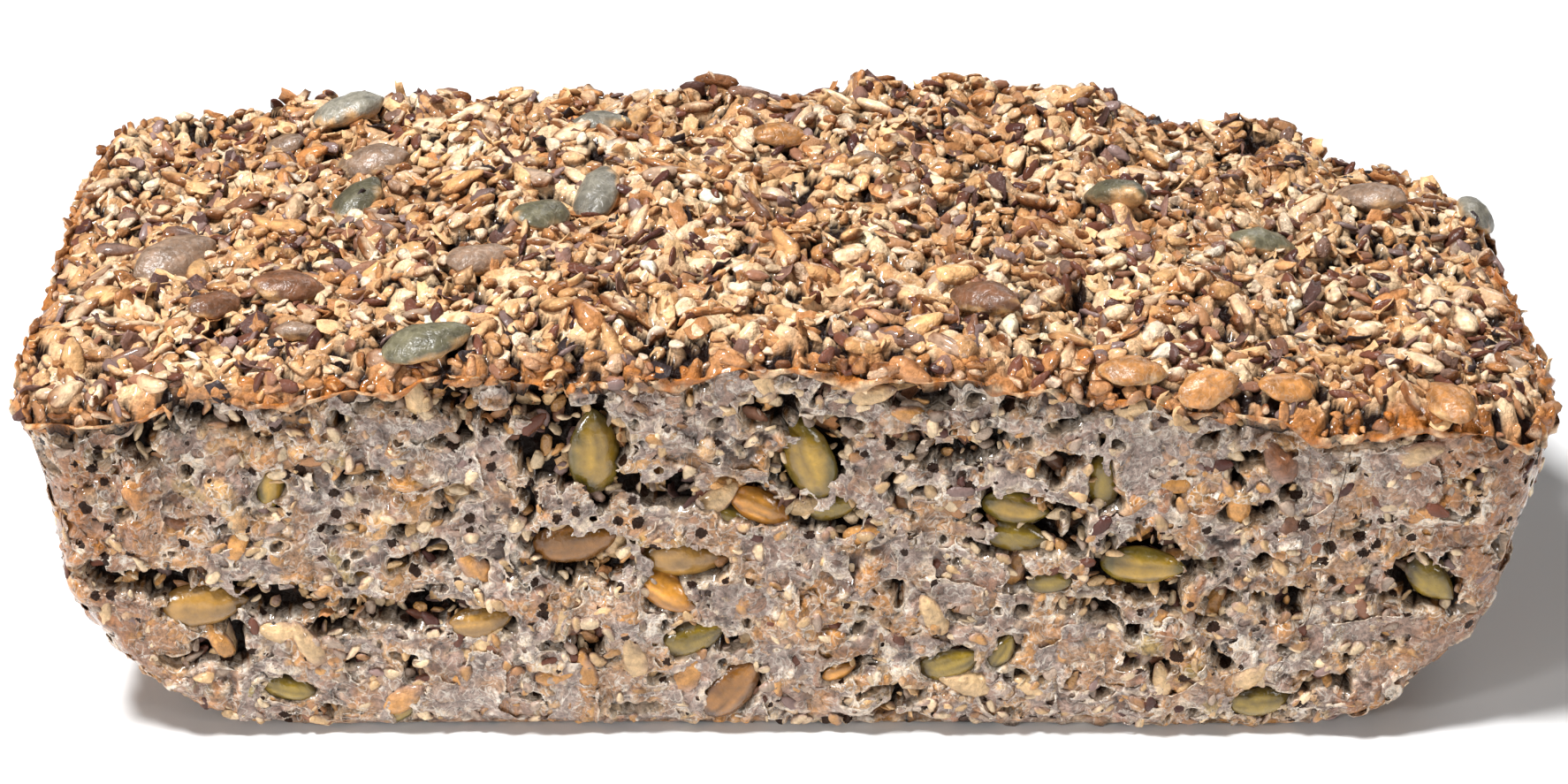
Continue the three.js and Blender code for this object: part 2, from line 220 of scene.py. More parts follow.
WALL_PUMPKINS = [  # place on the front wall, turn, size, tone, depth of its middle below the skin
    (-29, 51, 92, 1.12, OLIVE, SUNK),
    (3, 50, 108, 1.12, OLIVE, SUNK),
    (-32, 35, 9, 1.02, TAWNY, SUNK),
    (-16, 31.5, 0, 0.98, STRAW, SUNK),
    (54, 31, 0, 0.98, OLIVE, SUNK - 0.7),
    (34.5, 41, -11, 0.8, OLIVE, SUNK),
    (34.5, 36, -6, 0.75, GREEN, SUNK),
    (47, 46, 88, 0.8, GREEN, SUNK),
    (-4, 41, -28, 0.75, AMBER, SUNK),
    (-8.5, 39, -20, 0.6, GREEN, SUNK),
    (7, 41, 17, 0.6, GREEN, SUNK),
    (-61, 28, 14, 0.95, STRAW, SUNK),
    (-89, 24, 6, 1.0, STRAW, SUNK - 0.8),
    (98, 28, -43, 0.75, GREEN, SUNK),
    (-8.5, 8.5, 53, 0.98, TAWNY, FLUSH),
    (-18.5, 26.5, -33, 0.8, AMBER, FLUSH),
    (-14.5, 18, 22, 0.8, GREEN, FLUSH),
    (25, 13, 22, 0.8, GREEN, FLUSH),
    (33, 15.5, 63, 0.5, GREEN, FLUSH),
    (-77, 8.5, -11, 0.65, GREEN, FLUSH),
    (-60, 4, 40, 0.45, OLIVE, FLUSH),
    (40, 28.5, 6, 0.55, GREEN, FLUSH - 0.3),
    (-47, 21, 11, 0.75, STRAW, FLUSH),
    (73.5, 6, 6, 0.8, GREEN, FLUSH),
    (-77.5, 45.5, 86, 0.6, OLIVE, FLUSH + 0.8),
    (8, 11.5, 30, 0.45, AMBER, FLUSH),
]
OTHER_WALLS = {"back": (8, 92), "left": (2, 28), "right": (2, 26)}
FACE_TURN = {"front": 0, "right": 90, "back": 180, "left": 270}

SKIN = paint(164, 133, 117)
SKIN_PALE = paint(200, 174, 157)
SKIN_DARK = paint(98, 72, 61)
TORN_EDGE = paint(226, 206, 180)
# Painted shade for the deepest parts of the hollows.
HOLLOW_DEPTH_SHADE = paint(28, 18, 13)
HOLLOW_BROWN = paint(94, 56, 32)
HOLLOW_GOLD = paint(176, 120, 62)
BROWNED = paint(158, 99, 48)
# Painted shade for the creases between the bulges.
CREASE_SHADE = paint(46, 29, 21)
AMBER_CRUMB = paint(190, 132, 64)
CREAM_SHOWING = shades(
    (218, 192, 156, 5), (204, 168, 120, 2), (188, 136, 82, 1.6), (100, 66, 50, 1.3),
    (84, 72, 70, 0.8), (150, 132, 72, 0.7),
)
AMBER_SHOWING = shades((188, 128, 64, 4), (204, 158, 102, 3), (150, 90, 44, 2), (158, 130, 62, 1))
SKIN_SHOWING = [(SKIN, 2), (paint(180, 162, 144), 1), (paint(140, 112, 94), 1)]
SHOWING = [  # how many, colours, half length, half width, how far they press out the skin, strength
    (1500, SKIN_SHOWING, (1.6, 3.6), (1.1, 2.2), 1.5, 0.5),
    (3300, CREAM_SHOWING, (1.0, 1.7), (0.7, 1.1), 1.6, 0.9),
    (480, AMBER_SHOWING, (2.2, 4.6), (1.4, 2.5), 2.2, 0.95),
]


def draws(seed):
    """The even draws from 0 to 1 that scatter the hollows of the walls that don't face front."""
    state = seed
    while True:
        state = (state * 1664525 + 1013904223) % 2**32
        yield state / 2**32


def all_hollows():
    """Each hollow's wall, middle, size, turn and, for its seed, how large that is."""
    found = [("front", *row, 1) for row in FRONT_HOLLOWS]
    draw = draws(21)
    for face, (count, reach) in OTHER_WALLS.items():
        for i in range(count):
            along = reach * ((i + 0.25 + 0.5 * next(draw)) / count * 2 - 1)
            z = 20 + 30 * ((i * 0.618 + 0.3 * next(draw)) % 1)
            long, high = 15 + 5 * next(draw), 9 + 3 * next(draw)
            turn, size = 60 * (next(draw) - 0.5), 0.9 + 0.2 * next(draw)
            found.append((face, along, z, long, high, turn, size))
    return [dict(zip(("face", "along", "z", "long", "high", "turn", "size"), row)) for row in found]


def wall_place(face, along, z, turn=0, sunk=0):
    """A point of a wall, a direction along it after a turn, the one square to that, and outwards."""
    angle = math.radians(FACE_TURN[face])
    if face in ("front", "back"):
        out = HALF_WIDTH - LIP["out"] - foot_inset(z, SIDE_FOOT)
        out -= SIDE_DRAFT * max(smooth_top(along, -HALF_WIDTH) - 3 - z, 0)
    else:
        end = HALF_LENGTH if face == "right" else -HALF_LENGTH
        out = HALF_LENGTH - LIP["out"] - foot_inset(z, END_FOOT)
        out -= END_DRAFT * max(smooth_top(end, 0) - 3 - z, 0)
    level = np.array([math.cos(angle), math.sin(angle), 0])
    outward = np.array([math.sin(angle), -math.cos(angle), 0])
    lean = math.radians(turn)
    first = level * math.cos(lean) + np.array([0, 0, 1]) * math.sin(lean)
    second = np.cross(outward, first)
    return level * along + outward * (out - sunk) + np.array([0, 0, z]), first, second, outward


def rim_columns():
    """Points round the rim, closer together along the front."""
    edge = np.linspace(0, 8, 8000, endpoint=False)
    side, along = edge // 2, edge % 2 - 1
    u = np.select([side == 0, side == 1, side == 2], [along, 1, -along], -1)
    v = np.select([side == 0, side == 1, side == 2], [-1, along, 1], -along)
    plan = rim_plan(u, v)
    step = np.linalg.norm(np.roll(plan, -1, axis=0) - plan, axis=1)
    flat = abs(plan[:, 1]) > HALF_WIDTH - 1
    face = np.where(plan[:, 1] < 0, COLUMN_STEP["front"], COLUMN_STEP["back"])
    reached = np.concatenate([[0], np.cumsum(step / np.where(flat, face, COLUMN_STEP["end"]))])
    wanted = np.linspace(0, reached[-1], COLUMNS, endpoint=False)
    plan = np.append(plan, plan[:1], axis=0)
    return stack(np.interp(wanted, reached, plan[:, 0]), np.interp(wanted, reached, plan[:, 1]))


def wall_grid(rim):
    """Places on the wall, [column, row], with the rows evenly spread up each column."""
    rim_z = top_surface(rim[:, 0], rim[:, 1]) - CRUST_EDGE["down"]
    levels = rim_z[:, None] * np.linspace(0, 1, 400)
    fine = wall_point(rim[:, None], levels)
    climbed = np.cumsum(np.linalg.norm(np.diff(fine, axis=1, prepend=fine[:, :1]), axis=2), axis=1)
    share = np.linspace(0, 1, WALL_ROWS + 1)
    z = np.array([np.interp(share * far[-1], far, level) for far, level in zip(climbed, levels)])
    return wall_point(rim[:, None], z)


def directions(grid):
    """Unit directions along a closed net's columns and rows and outwards, and the steps between them."""
    along = np.roll(grid, -1, axis=0) - np.roll(grid, 1, axis=0)
    up = np.gradient(grid, axis=1)
    steps = np.linalg.norm(along, axis=-1) / 2, np.linalg.norm(up, axis=-1)
    return unit(along), unit(up), unit(np.cross(along, up)), *steps


def small_tears(at):
    """How far inside a small tear a place on the wall is, in mm; most lie near the rim and in patches."""
    loose = 0.22 * noise(at + 400, 24) + 0.1 * smooth_step(at[..., 2], 42, 60)
    return 2.6 * (noise(at * [1, 1, 1.5] + 200, 4.6) + 0.6 * noise(at + 90, 2.1) + loose - 0.45)


def opened(at, openings, ragged):
    """How far inside one of the oval openings a place is, in mm: a wall, a middle, a turn and a size."""
    inside = np.full(at.shape[:-1], float(FAR_OUTSIDE))
    for face, x, z, turn, long, high in openings:
        middle, first, second, outward = wall_place(face, x, z, turn)
        away = at - middle
        far = np.hypot(away @ first / (long / 2), away @ second / (high / 2))
        own = np.where(abs(away @ outward) < SAME_WALL, (1 - far) * high / 2 + ragged, FAR_OUTSIDE)
        inside = np.maximum(inside, own)
    return inside


def large_tears(at):
    """How far inside one of the large hollows a place is."""
    hollows = [[h[key] for key in ("face", "along", "z", "turn", "long", "high")] for h in all_hollows()]
    return opened(at, hollows, 1.3 * noise(at, 3.1) + 0.9 * noise(at + 50, 1.5))


def windows(at):
    """How far inside one of the small openings that show a flush pumpkin seed a place is."""
    long, wide = PUMPKIN["long"] * WINDOW, PUMPKIN["wide"] * WINDOW
    flush = [
        ("front", x, z, turn, size * long, size * wide)
        for x, z, turn, size, _, sunk in WALL_PUMPKINS if sunk < SUNK
    ]
    return opened(at, flush, 0.9 * noise(at + 15, 2.6) + 0.5 * noise(at + 50, 1.3))


def openness(at):
    return np.maximum(np.maximum(small_tears(at), large_tears(at)), windows(at))


rim = rim_columns()
wall = wall_grid(rim)
along, up, outward, along_step, up_step = directions(wall)

# The vertices nearest to a torn edge are moved onto it, so that the edge is clean and ragged.
inside = openness(wall)
slope_along = (np.roll(inside, -1, axis=0) - np.roll(inside, 1, axis=0)) / (2 * along_step)
slope_up = np.gradient(inside, axis=1) / up_step
slope = np.maximum(np.hypot(slope_along, slope_up), 0.25)
gap = np.clip(inside / slope, -3, 3)
near = (abs(gap) < SNAP) & (up_step < 1.2)
near[:, :2] = near[:, -3:] = False
shift = np.where(near, -gap / slope, 0)[..., None]
wall = wall + shift * (slope_along[..., None] * along + slope_up[..., None] * up)
gap = np.where(near, 0, gap)

depth_share = smooth_step(gap, 0, 0.9)
big = smooth_step(inside, 0.5, 2.5) * (windows(wall) < inside)
depth = depth_share * (TEAR_DEPTH + (HOLLOW_DEPTH - TEAR_DEPTH) * big) * smooth_step(wall[..., 2], 1, 3)
depth += depth_share * 0.9 * noise(wall + 610, 2.4)
curl = 0.3 * np.exp(-((gap + 0.3) / 0.5) ** 2) * (gap <= 0.01)

# Seeds and grain press out under the skin, packed side by side; in places they show through it.
mottle = rough(wall, 4.5)
tint = blend_colours(SKIN, SKIN_PALE, 0.9 * noise(wall, 1.3) + 0.4 * mottle)
tint = blend_colours(tint, SKIN_DARK, -0.9 * noise(wall + 40, 1.7) - 0.5 * mottle)
lumpy = 0.35 + 0.65 * smooth_step(noise(wall + 960, 10), -0.4, 0.2)
bulge = np.zeros(wall.shape[:2])
seeded = np.random.default_rng(5)
for count, colours, longs, shorts, lift, strength in SHOWING:
    reach = int(longs[1] / CELL) + 1
    for kind in choose(colours, count, seeded):
        column, row = seeded.integers(COLUMNS), seeded.integers(reach, WALL_ROWS - reach)
        columns = np.arange(column - reach, column + reach + 1) % COLUMNS
        patch = np.ix_(columns, np.arange(row - reach, row + reach + 1))
        away = wall[patch] - wall[column, row]
        angle = seeded.uniform(0, math.pi)
        level, rise = away @ along[column, row], away @ up[column, row]
        far = np.hypot(
            (level * math.cos(angle) + rise * math.sin(angle)) / seeded.uniform(*longs),
            (rise * math.cos(angle) - level * math.sin(angle)) / seeded.uniform(*shorts),
        )
        far += 0.25 * noise(wall[patch] + 520, 1.8)
        clear = seeded.uniform(0.5, 1) * lumpy[column, row]
        high = lift * clear * np.sqrt(np.clip(1 - far**2, 0, 1)) * smooth_step(-inside[patch], -0.2, 0.5)
        share = np.where(high >= bulge[patch], strength * clear * smooth_step(-far, -1.05, -0.7), 0)
        tint[patch] = blend_colours(tint[patch], colours[kind][0], share)
        bulge[patch] = np.maximum(bulge[patch], high)
skin_relief = bulge - 0.7 + 0.4 * rough(wall, 7) + 0.2 * noise(wall, 1.4)
skin_relief *= 1 - 0.4 * abs(outward[..., 0])
relief = (curl + skin_relief) * smooth_step(wall[..., 2], 0.3, 2) - depth
# Painted shade darkens the creases between the bulges.
crease_shade = lumpy * smooth_step(-bulge + 0.12 * noise(wall + 70, 1.2), -0.28, -0.02)
tint = blend_colours(tint, CREASE_SHADE, 0.95 * crease_shade * smooth_step(noise(wall + 75, 3.4), -0.7, 0.1))

# The ends and the foot are browner, the tears have pale edges, and painted shade darkens the hollows.
end_share = abs(outward[..., 0]) * 0.6 + 0.8 * smooth_step(abs(wall[..., 0]), 80, 110)
end_share += smooth_step(-wall[..., 2], -16, -2) * abs(outward[..., 0]) * 0.4
browning = np.clip(end_share + 0.35 * smooth_step(rough(wall + 300, 13), 0.2, 0.7), 0, 0.85)
tint = blend_colours(tint, BROWNED, browning * (0.8 + 0.6 * noise(wall + 710, 2.6)))
by_tear = smooth_step(inside, -3.2, -0.6) * smooth_step(noise(wall + 330, 5), 0.0, 0.4)
tint = blend_colours(tint, AMBER_CRUMB, 0.75 * by_tear)
edge_share = np.exp(-((gap + 0.15) / 0.3) ** 2) * (inside > -1.2)
tint = blend_colours(tint, TORN_EDGE, 0.6 * edge_share)
inner = blend_colours(HOLLOW_BROWN, HOLLOW_GOLD, 0.35 + 1.3 * noise(wall + 600, 2.2))
# Painted shade: a hollow's floor darkens to near black as it deepens.
inner = blend_colours(inner, HOLLOW_DEPTH_SHADE, smooth_step(depth + 0.8 * noise(wall + 650, 3), 0.5, 1.6))
tint = blend_colours(tint, inner, smooth_step(depth, 0.1, 0.7))
wall_at = wall + relief[..., None] * outward
wall_at[..., 2] = np.maximum(wall_at[..., 2], 0)


def crumb_rows():
    """The rows of the crumb's mesh: rings under the base, the wall, and rings under the crust."""
    foot = wall_point(rim, np.zeros(len(rim)))
    base = [foot * [ring, ring, 1] for ring in BASE_RINGS]
    covered = []
    for ring in COVERED_RINGS:
        plan = wall[:, -1] * ring
        plan[:, 2] = top_surface(plan[:, 0], plan[:, 1]) - COVERED_DEPTH
        covered.append(plan)
    rows = np.concatenate([np.stack(base, axis=1), wall_at, np.stack(covered, axis=1)], axis=1)
    return rows, np.pad(tint, ((0, 0), (len(base), len(covered)), (0, 0)), mode="edge")


def mesh_of(form, name):
    """The form as a mesh, and where its vertices are."""
    mesh = bpy.data.meshes.new(name)
    form.to_mesh(mesh)
    form.free()
    place = np.empty(len(mesh.vertices) * 3)
    mesh.vertices.foreach_get("co", place)
    return mesh, place.reshape(-1, 3)


def rolled_mesh(name, columns, rows):
    """A closed skin: a net rolled into a drum, joined along its seam, with both ends capped."""
    skin = bmesh.new()
    bmesh.ops.create_grid(skin, x_segments=columns, y_segments=rows - 1, size=1)
    for vert in skin.verts:
        column, row = round((vert.co.x + 1) / 2 * columns), round((vert.co.y + 1) / 2 * (rows - 1))
        angle = 2 * math.pi * (column % columns) / columns
        vert.co = (math.cos(angle) * 100, math.sin(angle) * 100, row)
    seam = [vert for vert in skin.verts if vert.is_boundary]
    bmesh.ops.remove_doubles(skin, verts=seam, dist=0.001)
    for level in (0, rows - 1):
        ring = [e for e in skin.edges if e.is_boundary and abs(e.verts[0].co.z - level) < 0.5]
        bmesh.ops.contextual_create(skin, geom=ring)
    bmesh.ops.recalc_face_normals(skin, faces=skin.faces)
    mesh, place = mesh_of(skin, name)
    turned = np.arctan2(place[:, 1], place[:, 0]) / (2 * math.pi)
    return mesh, np.round(turned * columns).astype(int) % columns, np.round(place[:, 2]).astype(int)


MM = 0.001


def finish_mesh(name, mesh, at, tint, material):
    mesh.vertices.foreach_set("co", ((at + TIN_MIDDLE) * MM).astype(np.float32).ravel())
    mesh.polygons.foreach_set("use_smooth", np.ones(len(mesh.polygons), bool))
    colours = mesh.color_attributes.new("tint", "FLOAT_COLOR", "POINT")
    colours.data.foreach_set("color", np.append(tint, np.ones((len(tint), 1)), 1).ravel())
    mesh.materials.append(material)
    mesh.update()
    piece = bpy.data.objects.new(name, mesh)
    bpy.context.scene.collection.objects.link(piece)
    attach(piece, "root")
    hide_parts("loaf")


def new_material(name, roughness, specular=0.5):
    """A material and its shader."""
    made = bpy.data.materials.new(name)
    made.use_nodes = True
    shader = made.node_tree.nodes["Principled BSDF"]
    shader.inputs["Roughness"].default_value = roughness
    shader.inputs["Specular IOR Level"].default_value = specular
    return made, shader


def node(tree, kind, **values):
    """A node with its settings, and its inputs set or joined by name."""
    made = tree.nodes.new(kind)
    inputs = values.pop("inputs", {})
    for setting, value in values.items():
        setattr(made, setting, value)
    for socket, value in inputs.items():
        if isinstance(value, bpy.types.NodeSocket):
            tree.links.new(value, made.inputs[socket])
        else:
            made.inputs[socket].default_value = value
    return made


def maths(tree, operation, *values, clamp=False):
    inputs = dict(enumerate(values))
    return node(tree, "ShaderNodeMath", operation=operation, use_clamp=clamp, inputs=inputs).outputs[0]


def group_of(name, inputs, outputs):
    """An empty shader group with its sockets, and the nodes that take in and give out their values."""
    tree = bpy.data.node_groups.new(name, "ShaderNodeTree")
    for way, sockets in (("INPUT", inputs), ("OUTPUT", outputs)):
        for socket in sockets:
            tree.interface.new_socket(name=socket, in_out=way, socket_type="NodeSocketFloat")
    return tree, tree.nodes.new("NodeGroupInput").outputs, tree.nodes.new("NodeGroupOutput").inputs


def grain_group():
    """Baked grain: a shade to multiply a colour by, which holds painted shade in the seams between cells,
    ragged pits, pale threads, and a height.
    Its scales are counts in a metre, so 1000 gives marks about a millimetre wide."""
    tree, enter, leave = group_of(
        "baked grain",
        ["Grain Size", "Contrast", "Pit Share", "Thread Size", "Cell Contrast"],
        ["Shade", "Height", "Pits", "Threads"],
    )

    def calc(operation, *values):
        return maths(tree, operation, *values)

    def soft(scale, detail, output="Fac", **more):
        inputs = {"Vector": place, "Scale": scale, "Detail": detail, **more}
        return node(tree, "ShaderNodeTexNoise", inputs=inputs).outputs[output]

    def cellular(at, scale, channel):
        """How far from its cell's middle a place is, and a value that each cell has of its own."""
        inputs = {"Vector": at, "Scale": scale, "Randomness": 1.0}
        found = node(tree, "ShaderNodeTexVoronoi", inputs=inputs).outputs
        parts = node(tree, "ShaderNodeSeparateColor", inputs={"Color": found["Color"]}).outputs
        return found["Distance"], parts[channel]

    place = node(tree, "ShaderNodeTexCoord").outputs["Object"]
    fine = soft(enter["Grain Size"], 3.0, Roughness=0.65)
    specks = soft(1150.0, 1.5, Distortion=1.2)
    from_hole, hole_kind = cellular(place, 330.0, 1)
    spread = soft(170.0, 1.0)
    fibres = soft(enter["Thread Size"], 2.0, Distortion=0.9)
    bent = node(
        tree, "ShaderNodeVectorMath", operation="MULTIPLY_ADD",
        inputs={0: soft(600.0, 1.0, "Color"), 1: (0.0016, 0.0016, 0.0016), 2: place},
    ).outputs[0]
    from_cell, cell_kind = cellular(bent, 640.0, 0)
    lifted = calc("SUBTRACT", fine, 0.5)
    hole_size = calc("MULTIPLY", calc("SUBTRACT", hole_kind, 0.35), enter["Pit Share"])
    ragged = calc("MULTIPLY_ADD", calc("SUBTRACT", specks, 0.5), 0.35, from_hole)
    pits = calc("LESS_THAN", ragged, calc("MULTIPLY", hole_size, spread))
    ridge = calc("MULTIPLY_ADD", calc("ABSOLUTE", calc("SUBTRACT", fibres, 0.5)), -22.0, 1.0)
    threads = calc("MULTIPLY", calc("MAXIMUM", ridge, 0.0), calc("MULTIPLY", specks, spread))
    patchy = calc("MULTIPLY", calc("SUBTRACT", cell_kind, 0.5), enter["Cell Contrast"])
    # Painted shade darkens the seams between the cells.
    seam_shade = calc("MULTIPLY", calc("POWER", from_cell, 3.0), enter["Cell Contrast"])
    patchy = calc("MULTIPLY_ADD", seam_shade, -1.6, patchy)
    shade = calc("MULTIPLY_ADD", lifted, enter["Contrast"], calc("ADD", patchy, 1.0))
    dome = calc("MULTIPLY_ADD", from_cell, -0.9, lifted)
    height = calc("SUBTRACT", calc("MULTIPLY_ADD", threads, 0.5, dome), pits)
    for name, value in {"Shade": shade, "Height": height, "Pits": pits, "Threads": threads}.items():
        tree.links.new(value, leave[name])
    return tree


GRAIN = grain_group()
# Fibres in the skin, pale partly as painted glints.
PALE_THREAD_AND_GLINT = (*paint(226, 214, 200), 1)
# Painted shade: the dark inside of the tiny pits.
PIT_SHADE = (*paint(48, 31, 22), 1)
BAKED = {"specular": 0.1, "coat": 0.6}
COAT_ROUGHNESS = 0.1
WET_FROM = 8  # how fast the gloss comes on as the colour gets paler
BUMP_STRENGTH = 0.7


def grained(name, roughness, grain_size, contrast, cells=0.0, pits=0.0, threads=0.0, thread_size=600.0,
            bump=0.0003, specular=0.5, coat=0.0):
    """A material whose colour is the piece's own tint, with grain, pits painted dark as shade, pale
    threads partly painted as glints, and bump on it.
    """
    made, shader = new_material(name, roughness, specular)
    shader.inputs["Coat Roughness"].default_value = COAT_ROUGHNESS
    tree = made.node_tree
    own = node(tree, "ShaderNodeAttribute", attribute_name="tint").outputs
    grain = node(
        tree, "ShaderNodeGroup", node_tree=GRAIN,
        inputs={"Grain Size": grain_size, "Contrast": contrast, "Pit Share": pits,
                "Thread Size": thread_size, "Cell Contrast": cells},
    ).outputs
    if coat:  # wet where it is pale, dull in the dark hollows
        wet = maths(tree, "MINIMUM", maths(tree, "MULTIPLY", own["Fac"], coat * WET_FROM), coat)
        if pits:
            wet = maths(tree, "SUBTRACT", wet, grain["Pits"], clamp=True)
        tree.links.new(wet, shader.inputs["Coat Weight"])
    colour = node(
        tree, "ShaderNodeVectorMath", operation="SCALE", inputs={0: own["Color"], "Scale": grain["Shade"]}
    ).outputs[0]
    laid = []
    # Pale threads: fibres whose pale colour is partly a painted glint.
    if threads:
        share = maths(tree, "MULTIPLY", grain["Threads"], threads * 3)
        laid.append((maths(tree, "MULTIPLY", share, own["Fac"], clamp=True), PALE_THREAD_AND_GLINT))
    # The pits are painted dark, as the shade inside tiny holes.
    if pits:
        laid.append((grain["Pits"], PIT_SHADE))
    for share, over in laid:
        inputs = {0: share, 6: colour, 7: over}
        colour = node(tree, "ShaderNodeMix", data_type="RGBA", inputs=inputs).outputs[2]
    inputs = {"Strength": BUMP_STRENGTH, "Distance": bump, "Height": grain["Height"]}
    raised = node(tree, "ShaderNodeBump", inputs=inputs)
    tree.links.new(colour, shader.inputs["Base Color"])
    tree.links.new(raised.outputs[0], shader.inputs["Normal"])
    return made


moist_crumb = grained(
    "moist crumb", 0.26, 1500.0, 1.8, cells=0.5, pits=1.05, threads=2.6, thread_size=420.0, bump=0.0006,
    specular=0.1, coat=0.85,
)
rows_at, rows_tint = crumb_rows()
crumb_mesh, column, row = rolled_mesh("crumb", COLUMNS, rows_at.shape[1])
finish_mesh("crumb", crumb_mesh, rows_at[column, row], rows_tint[column, row], moist_crumb)

# ------------------------
# Torn skin. The thin skin stands free along each tear: a lacy film, curled out or folded in over
# the hollow, with pale ragged edges and holes, reaching over a seed here and there.
SKIN_TONGUES = [  # place on the front wall and size of the films that reach over a hollow
    (4.5, 44.5, 3.6), (-31.5, 45, 2.6), (-20, 48, 3), (30, 37.5, 2.4), (-84, 28, 3), (49, 50, 2.5),
]
SKIN_FILM = paint(164, 143, 131)
FILM_EDGE = paint(230, 208, 182)
FILM_PIECES = 5
FILM_THICK = 0.16
ALL_AXES = {"use_axis_x": True, "use_axis_y": True, "use_axis_z": True}


def finer(grid):
    """A net with twice as many cells each way: along the columns, which close on themselves, and up."""
    grid = np.stack([grid, (grid + np.roll(grid, -1, axis=0)) / 2], axis=1).reshape(-1, *grid.shape[1:])
    made = np.repeat(grid, 2, axis=1)[:, :-1]
    made[:, 1::2] = (grid[:, :-1] + grid[:, 1:]) / 2
    return made


def stretched(grid, reach):
    """The grid's mean over a few cells each way: the shape that a thin skin takes over the lumps."""
    wide = np.pad(grid, ((reach, reach), (0, 0)), mode="wrap")
    wide = np.pad(wide, ((0, 0), (reach, reach)), mode="edge")
    around = np.lib.stride_tricks.sliding_window_view(wide, (2 * reach + 1, 2 * reach + 1))
    return around.mean(axis=(2, 3))


def film_rest(at):
    """How far a place on the film is from the film's own ragged edge, or from a hole in it, in mm."""
    by_hollow = smooth_step(large_tears(at), -1.5, 0.5)
    reach = (0.3 + 0.8 * by_hollow) * (noise(at + 120, 2.0) + 0.6 * noise(at + 170, 0.9))
    reach += 1.8 * by_hollow * smooth_step(noise(at + 260, 5.5), 0.2, 0.6)
    for x, z, size in SKIN_TONGUES:
        away = np.hypot(at[..., 0] - x, at[..., 2] - z) + (at[..., 1] > 0) * 99
        reach += 5 * smooth_step(-away - 0.8 * noise(at, 2), -size, -size + 1)
    lace = 0.55 - noise(at + 220, 1.5) - 0.5 * noise(at + 240, 0.8)
    edge = openness(at)
    by_tear = np.minimum(reach - edge, np.where(edge > -0.8, lace * 1.5, 9))
    by_tear = np.where(edge > -1.5 + 0.6 * noise(at + 90, 3), by_tear, -9)
    flap = 5 * noise(at + 800, 6.5) + 0.5 * noise(at + 830, 1.5) + 0.6
    flap = np.minimum(flap, 8 * (noise(at + 820, 12) + 0.2) + 0.6 * noise(at + 860, 1.8))
    flap = np.where(edge < -0.6, flap, -9)
    return by_tear, flap, edge


film_place, film_out = finer(wall), unit(finer(outward))
film_left, film_flap, film_edge = film_rest(film_place)
film_keep = (np.maximum(film_left, film_flap) > 0) & (film_place[..., 2] > 2.5)
skin_under = finer(stretched(relief + depth, 2))
film_high = skin_under + 0.75 * smooth_step(film_edge, -1.5, 0.7) * noise(film_place + 20, 4.2)
film_high += 0.22 - 0.4 * smooth_step(-film_edge, 0.7, 1.5)
flap_high = 0.6 * smooth_step(-film_flap, -0.8, -0.1) + 0.28
film_high = np.where(film_left > 0, film_high, skin_under + flap_high)
film_at = film_place + film_high[..., None] * film_out


def film_mesh(name, first, last):
    """The kept cells of the finer net between two columns, with smoothed edges, as a thin closed film."""
    rows = film_at.shape[1]
    film = bmesh.new()
    bmesh.ops.create_grid(film, x_segments=last - first, y_segments=rows - 1, size=1)
    spot = np.array([vert.co[:2] for vert in film.verts])
    column = np.round((spot[:, 0] + 1) / 2 * (last - first)).astype(int) + first
    row = np.round((spot[:, 1] + 1) / 2 * (rows - 1)).astype(int)
    kept = film_keep[column % len(film_keep), row]
    place = film_at[column % len(film_at), row]
    for vert, to in zip(film.verts, place):
        vert.co = to
    dropped = [vert for vert, stays in zip(film.verts, kept) if not stays]
    bmesh.ops.delete(film, geom=dropped, context="VERTS")
    for _ in range(2):
        border = [vert for vert in film.verts if vert.is_boundary]
        bmesh.ops.smooth_vert(film, verts=border, factor=0.5, **ALL_AXES)
    bmesh.ops.delete(film, geom=[vert for vert in film.verts if not vert.link_faces], context="VERTS")
    bmesh.ops.solidify(film, geom=film.verts[:] + film.edges[:] + film.faces[:], thickness=FILM_THICK)
    bmesh.ops.recalc_face_normals(film, faces=film.faces)
    return mesh_of(film, name)


def film_tint(at):
    left, flap, _ = film_rest(at)
    left = np.maximum(left, flap)
    colour = blend_colours(SKIN_FILM, SKIN_DARK, 0.12 - 0.8 * noise(at + 40, 1.7))
    colour = blend_colours(colour, AMBER_CRUMB, 0.45 * smooth_step(noise(at + 330, 5), 0.1, 0.5))
    colour = blend_colours(colour, BROWNED, 0.75 * smooth_step(abs(at[..., 0]), 80, 110))
    return blend_colours(colour, FILM_EDGE, 0.85 * smooth_step(-left, -0.7, -0.1))


torn_skin = grained(
    "torn skin", 0.26, 1700.0, 2.2, cells=0.3, pits=0.9, threads=3.0, thread_size=480.0, bump=0.0008,
    specular=0.15, coat=0.8,
)
share = len(film_at) // FILM_PIECES
for part in range(FILM_PIECES):
    name = f"torn_skin_{part + 1}"
    mesh, points = film_mesh(name, part * share, (part + 1) * share)
    finish_mesh(name, mesh, points, film_tint(points), torn_skin)

# ------------------------
# The crust. The open top bakes to a hard, craggy skin of dough and seeds, golden on its high
# points; painted shade darkens its cracks. Its edge is a band a little proud of the moulded walls.
CRUST_CELLS = (452, 192)
BAND_ROWS = 7
LUMPS = {  # how many, half length and half width of each from and to, and how high it stands
    "kernels": (950, (2.1, 3.9), (1.4, 2.3), (2.0, 3.1)),
    "grains": (7600, (1.0, 2.3), (0.7, 1.3), (0.9, 2.4)),
}
CRUST_PALE = paint(238, 206, 166)
CRUST_GOLD = paint(214, 164, 116)
CRUST_BROWN = paint(160, 104, 62)
# Painted shade: the near-black colour of the crust's cracks and of the band where it sinks in.
CRUST_CRACK_SHADE = paint(28, 15, 11)
# The dough on the lower flanks of the crust's seeds, darkened as painted shade.
SEED_FLANK_DOUGH_AND_SHADE = paint(122, 76, 45)
EDGE_BROWN = paint(172, 104, 44)


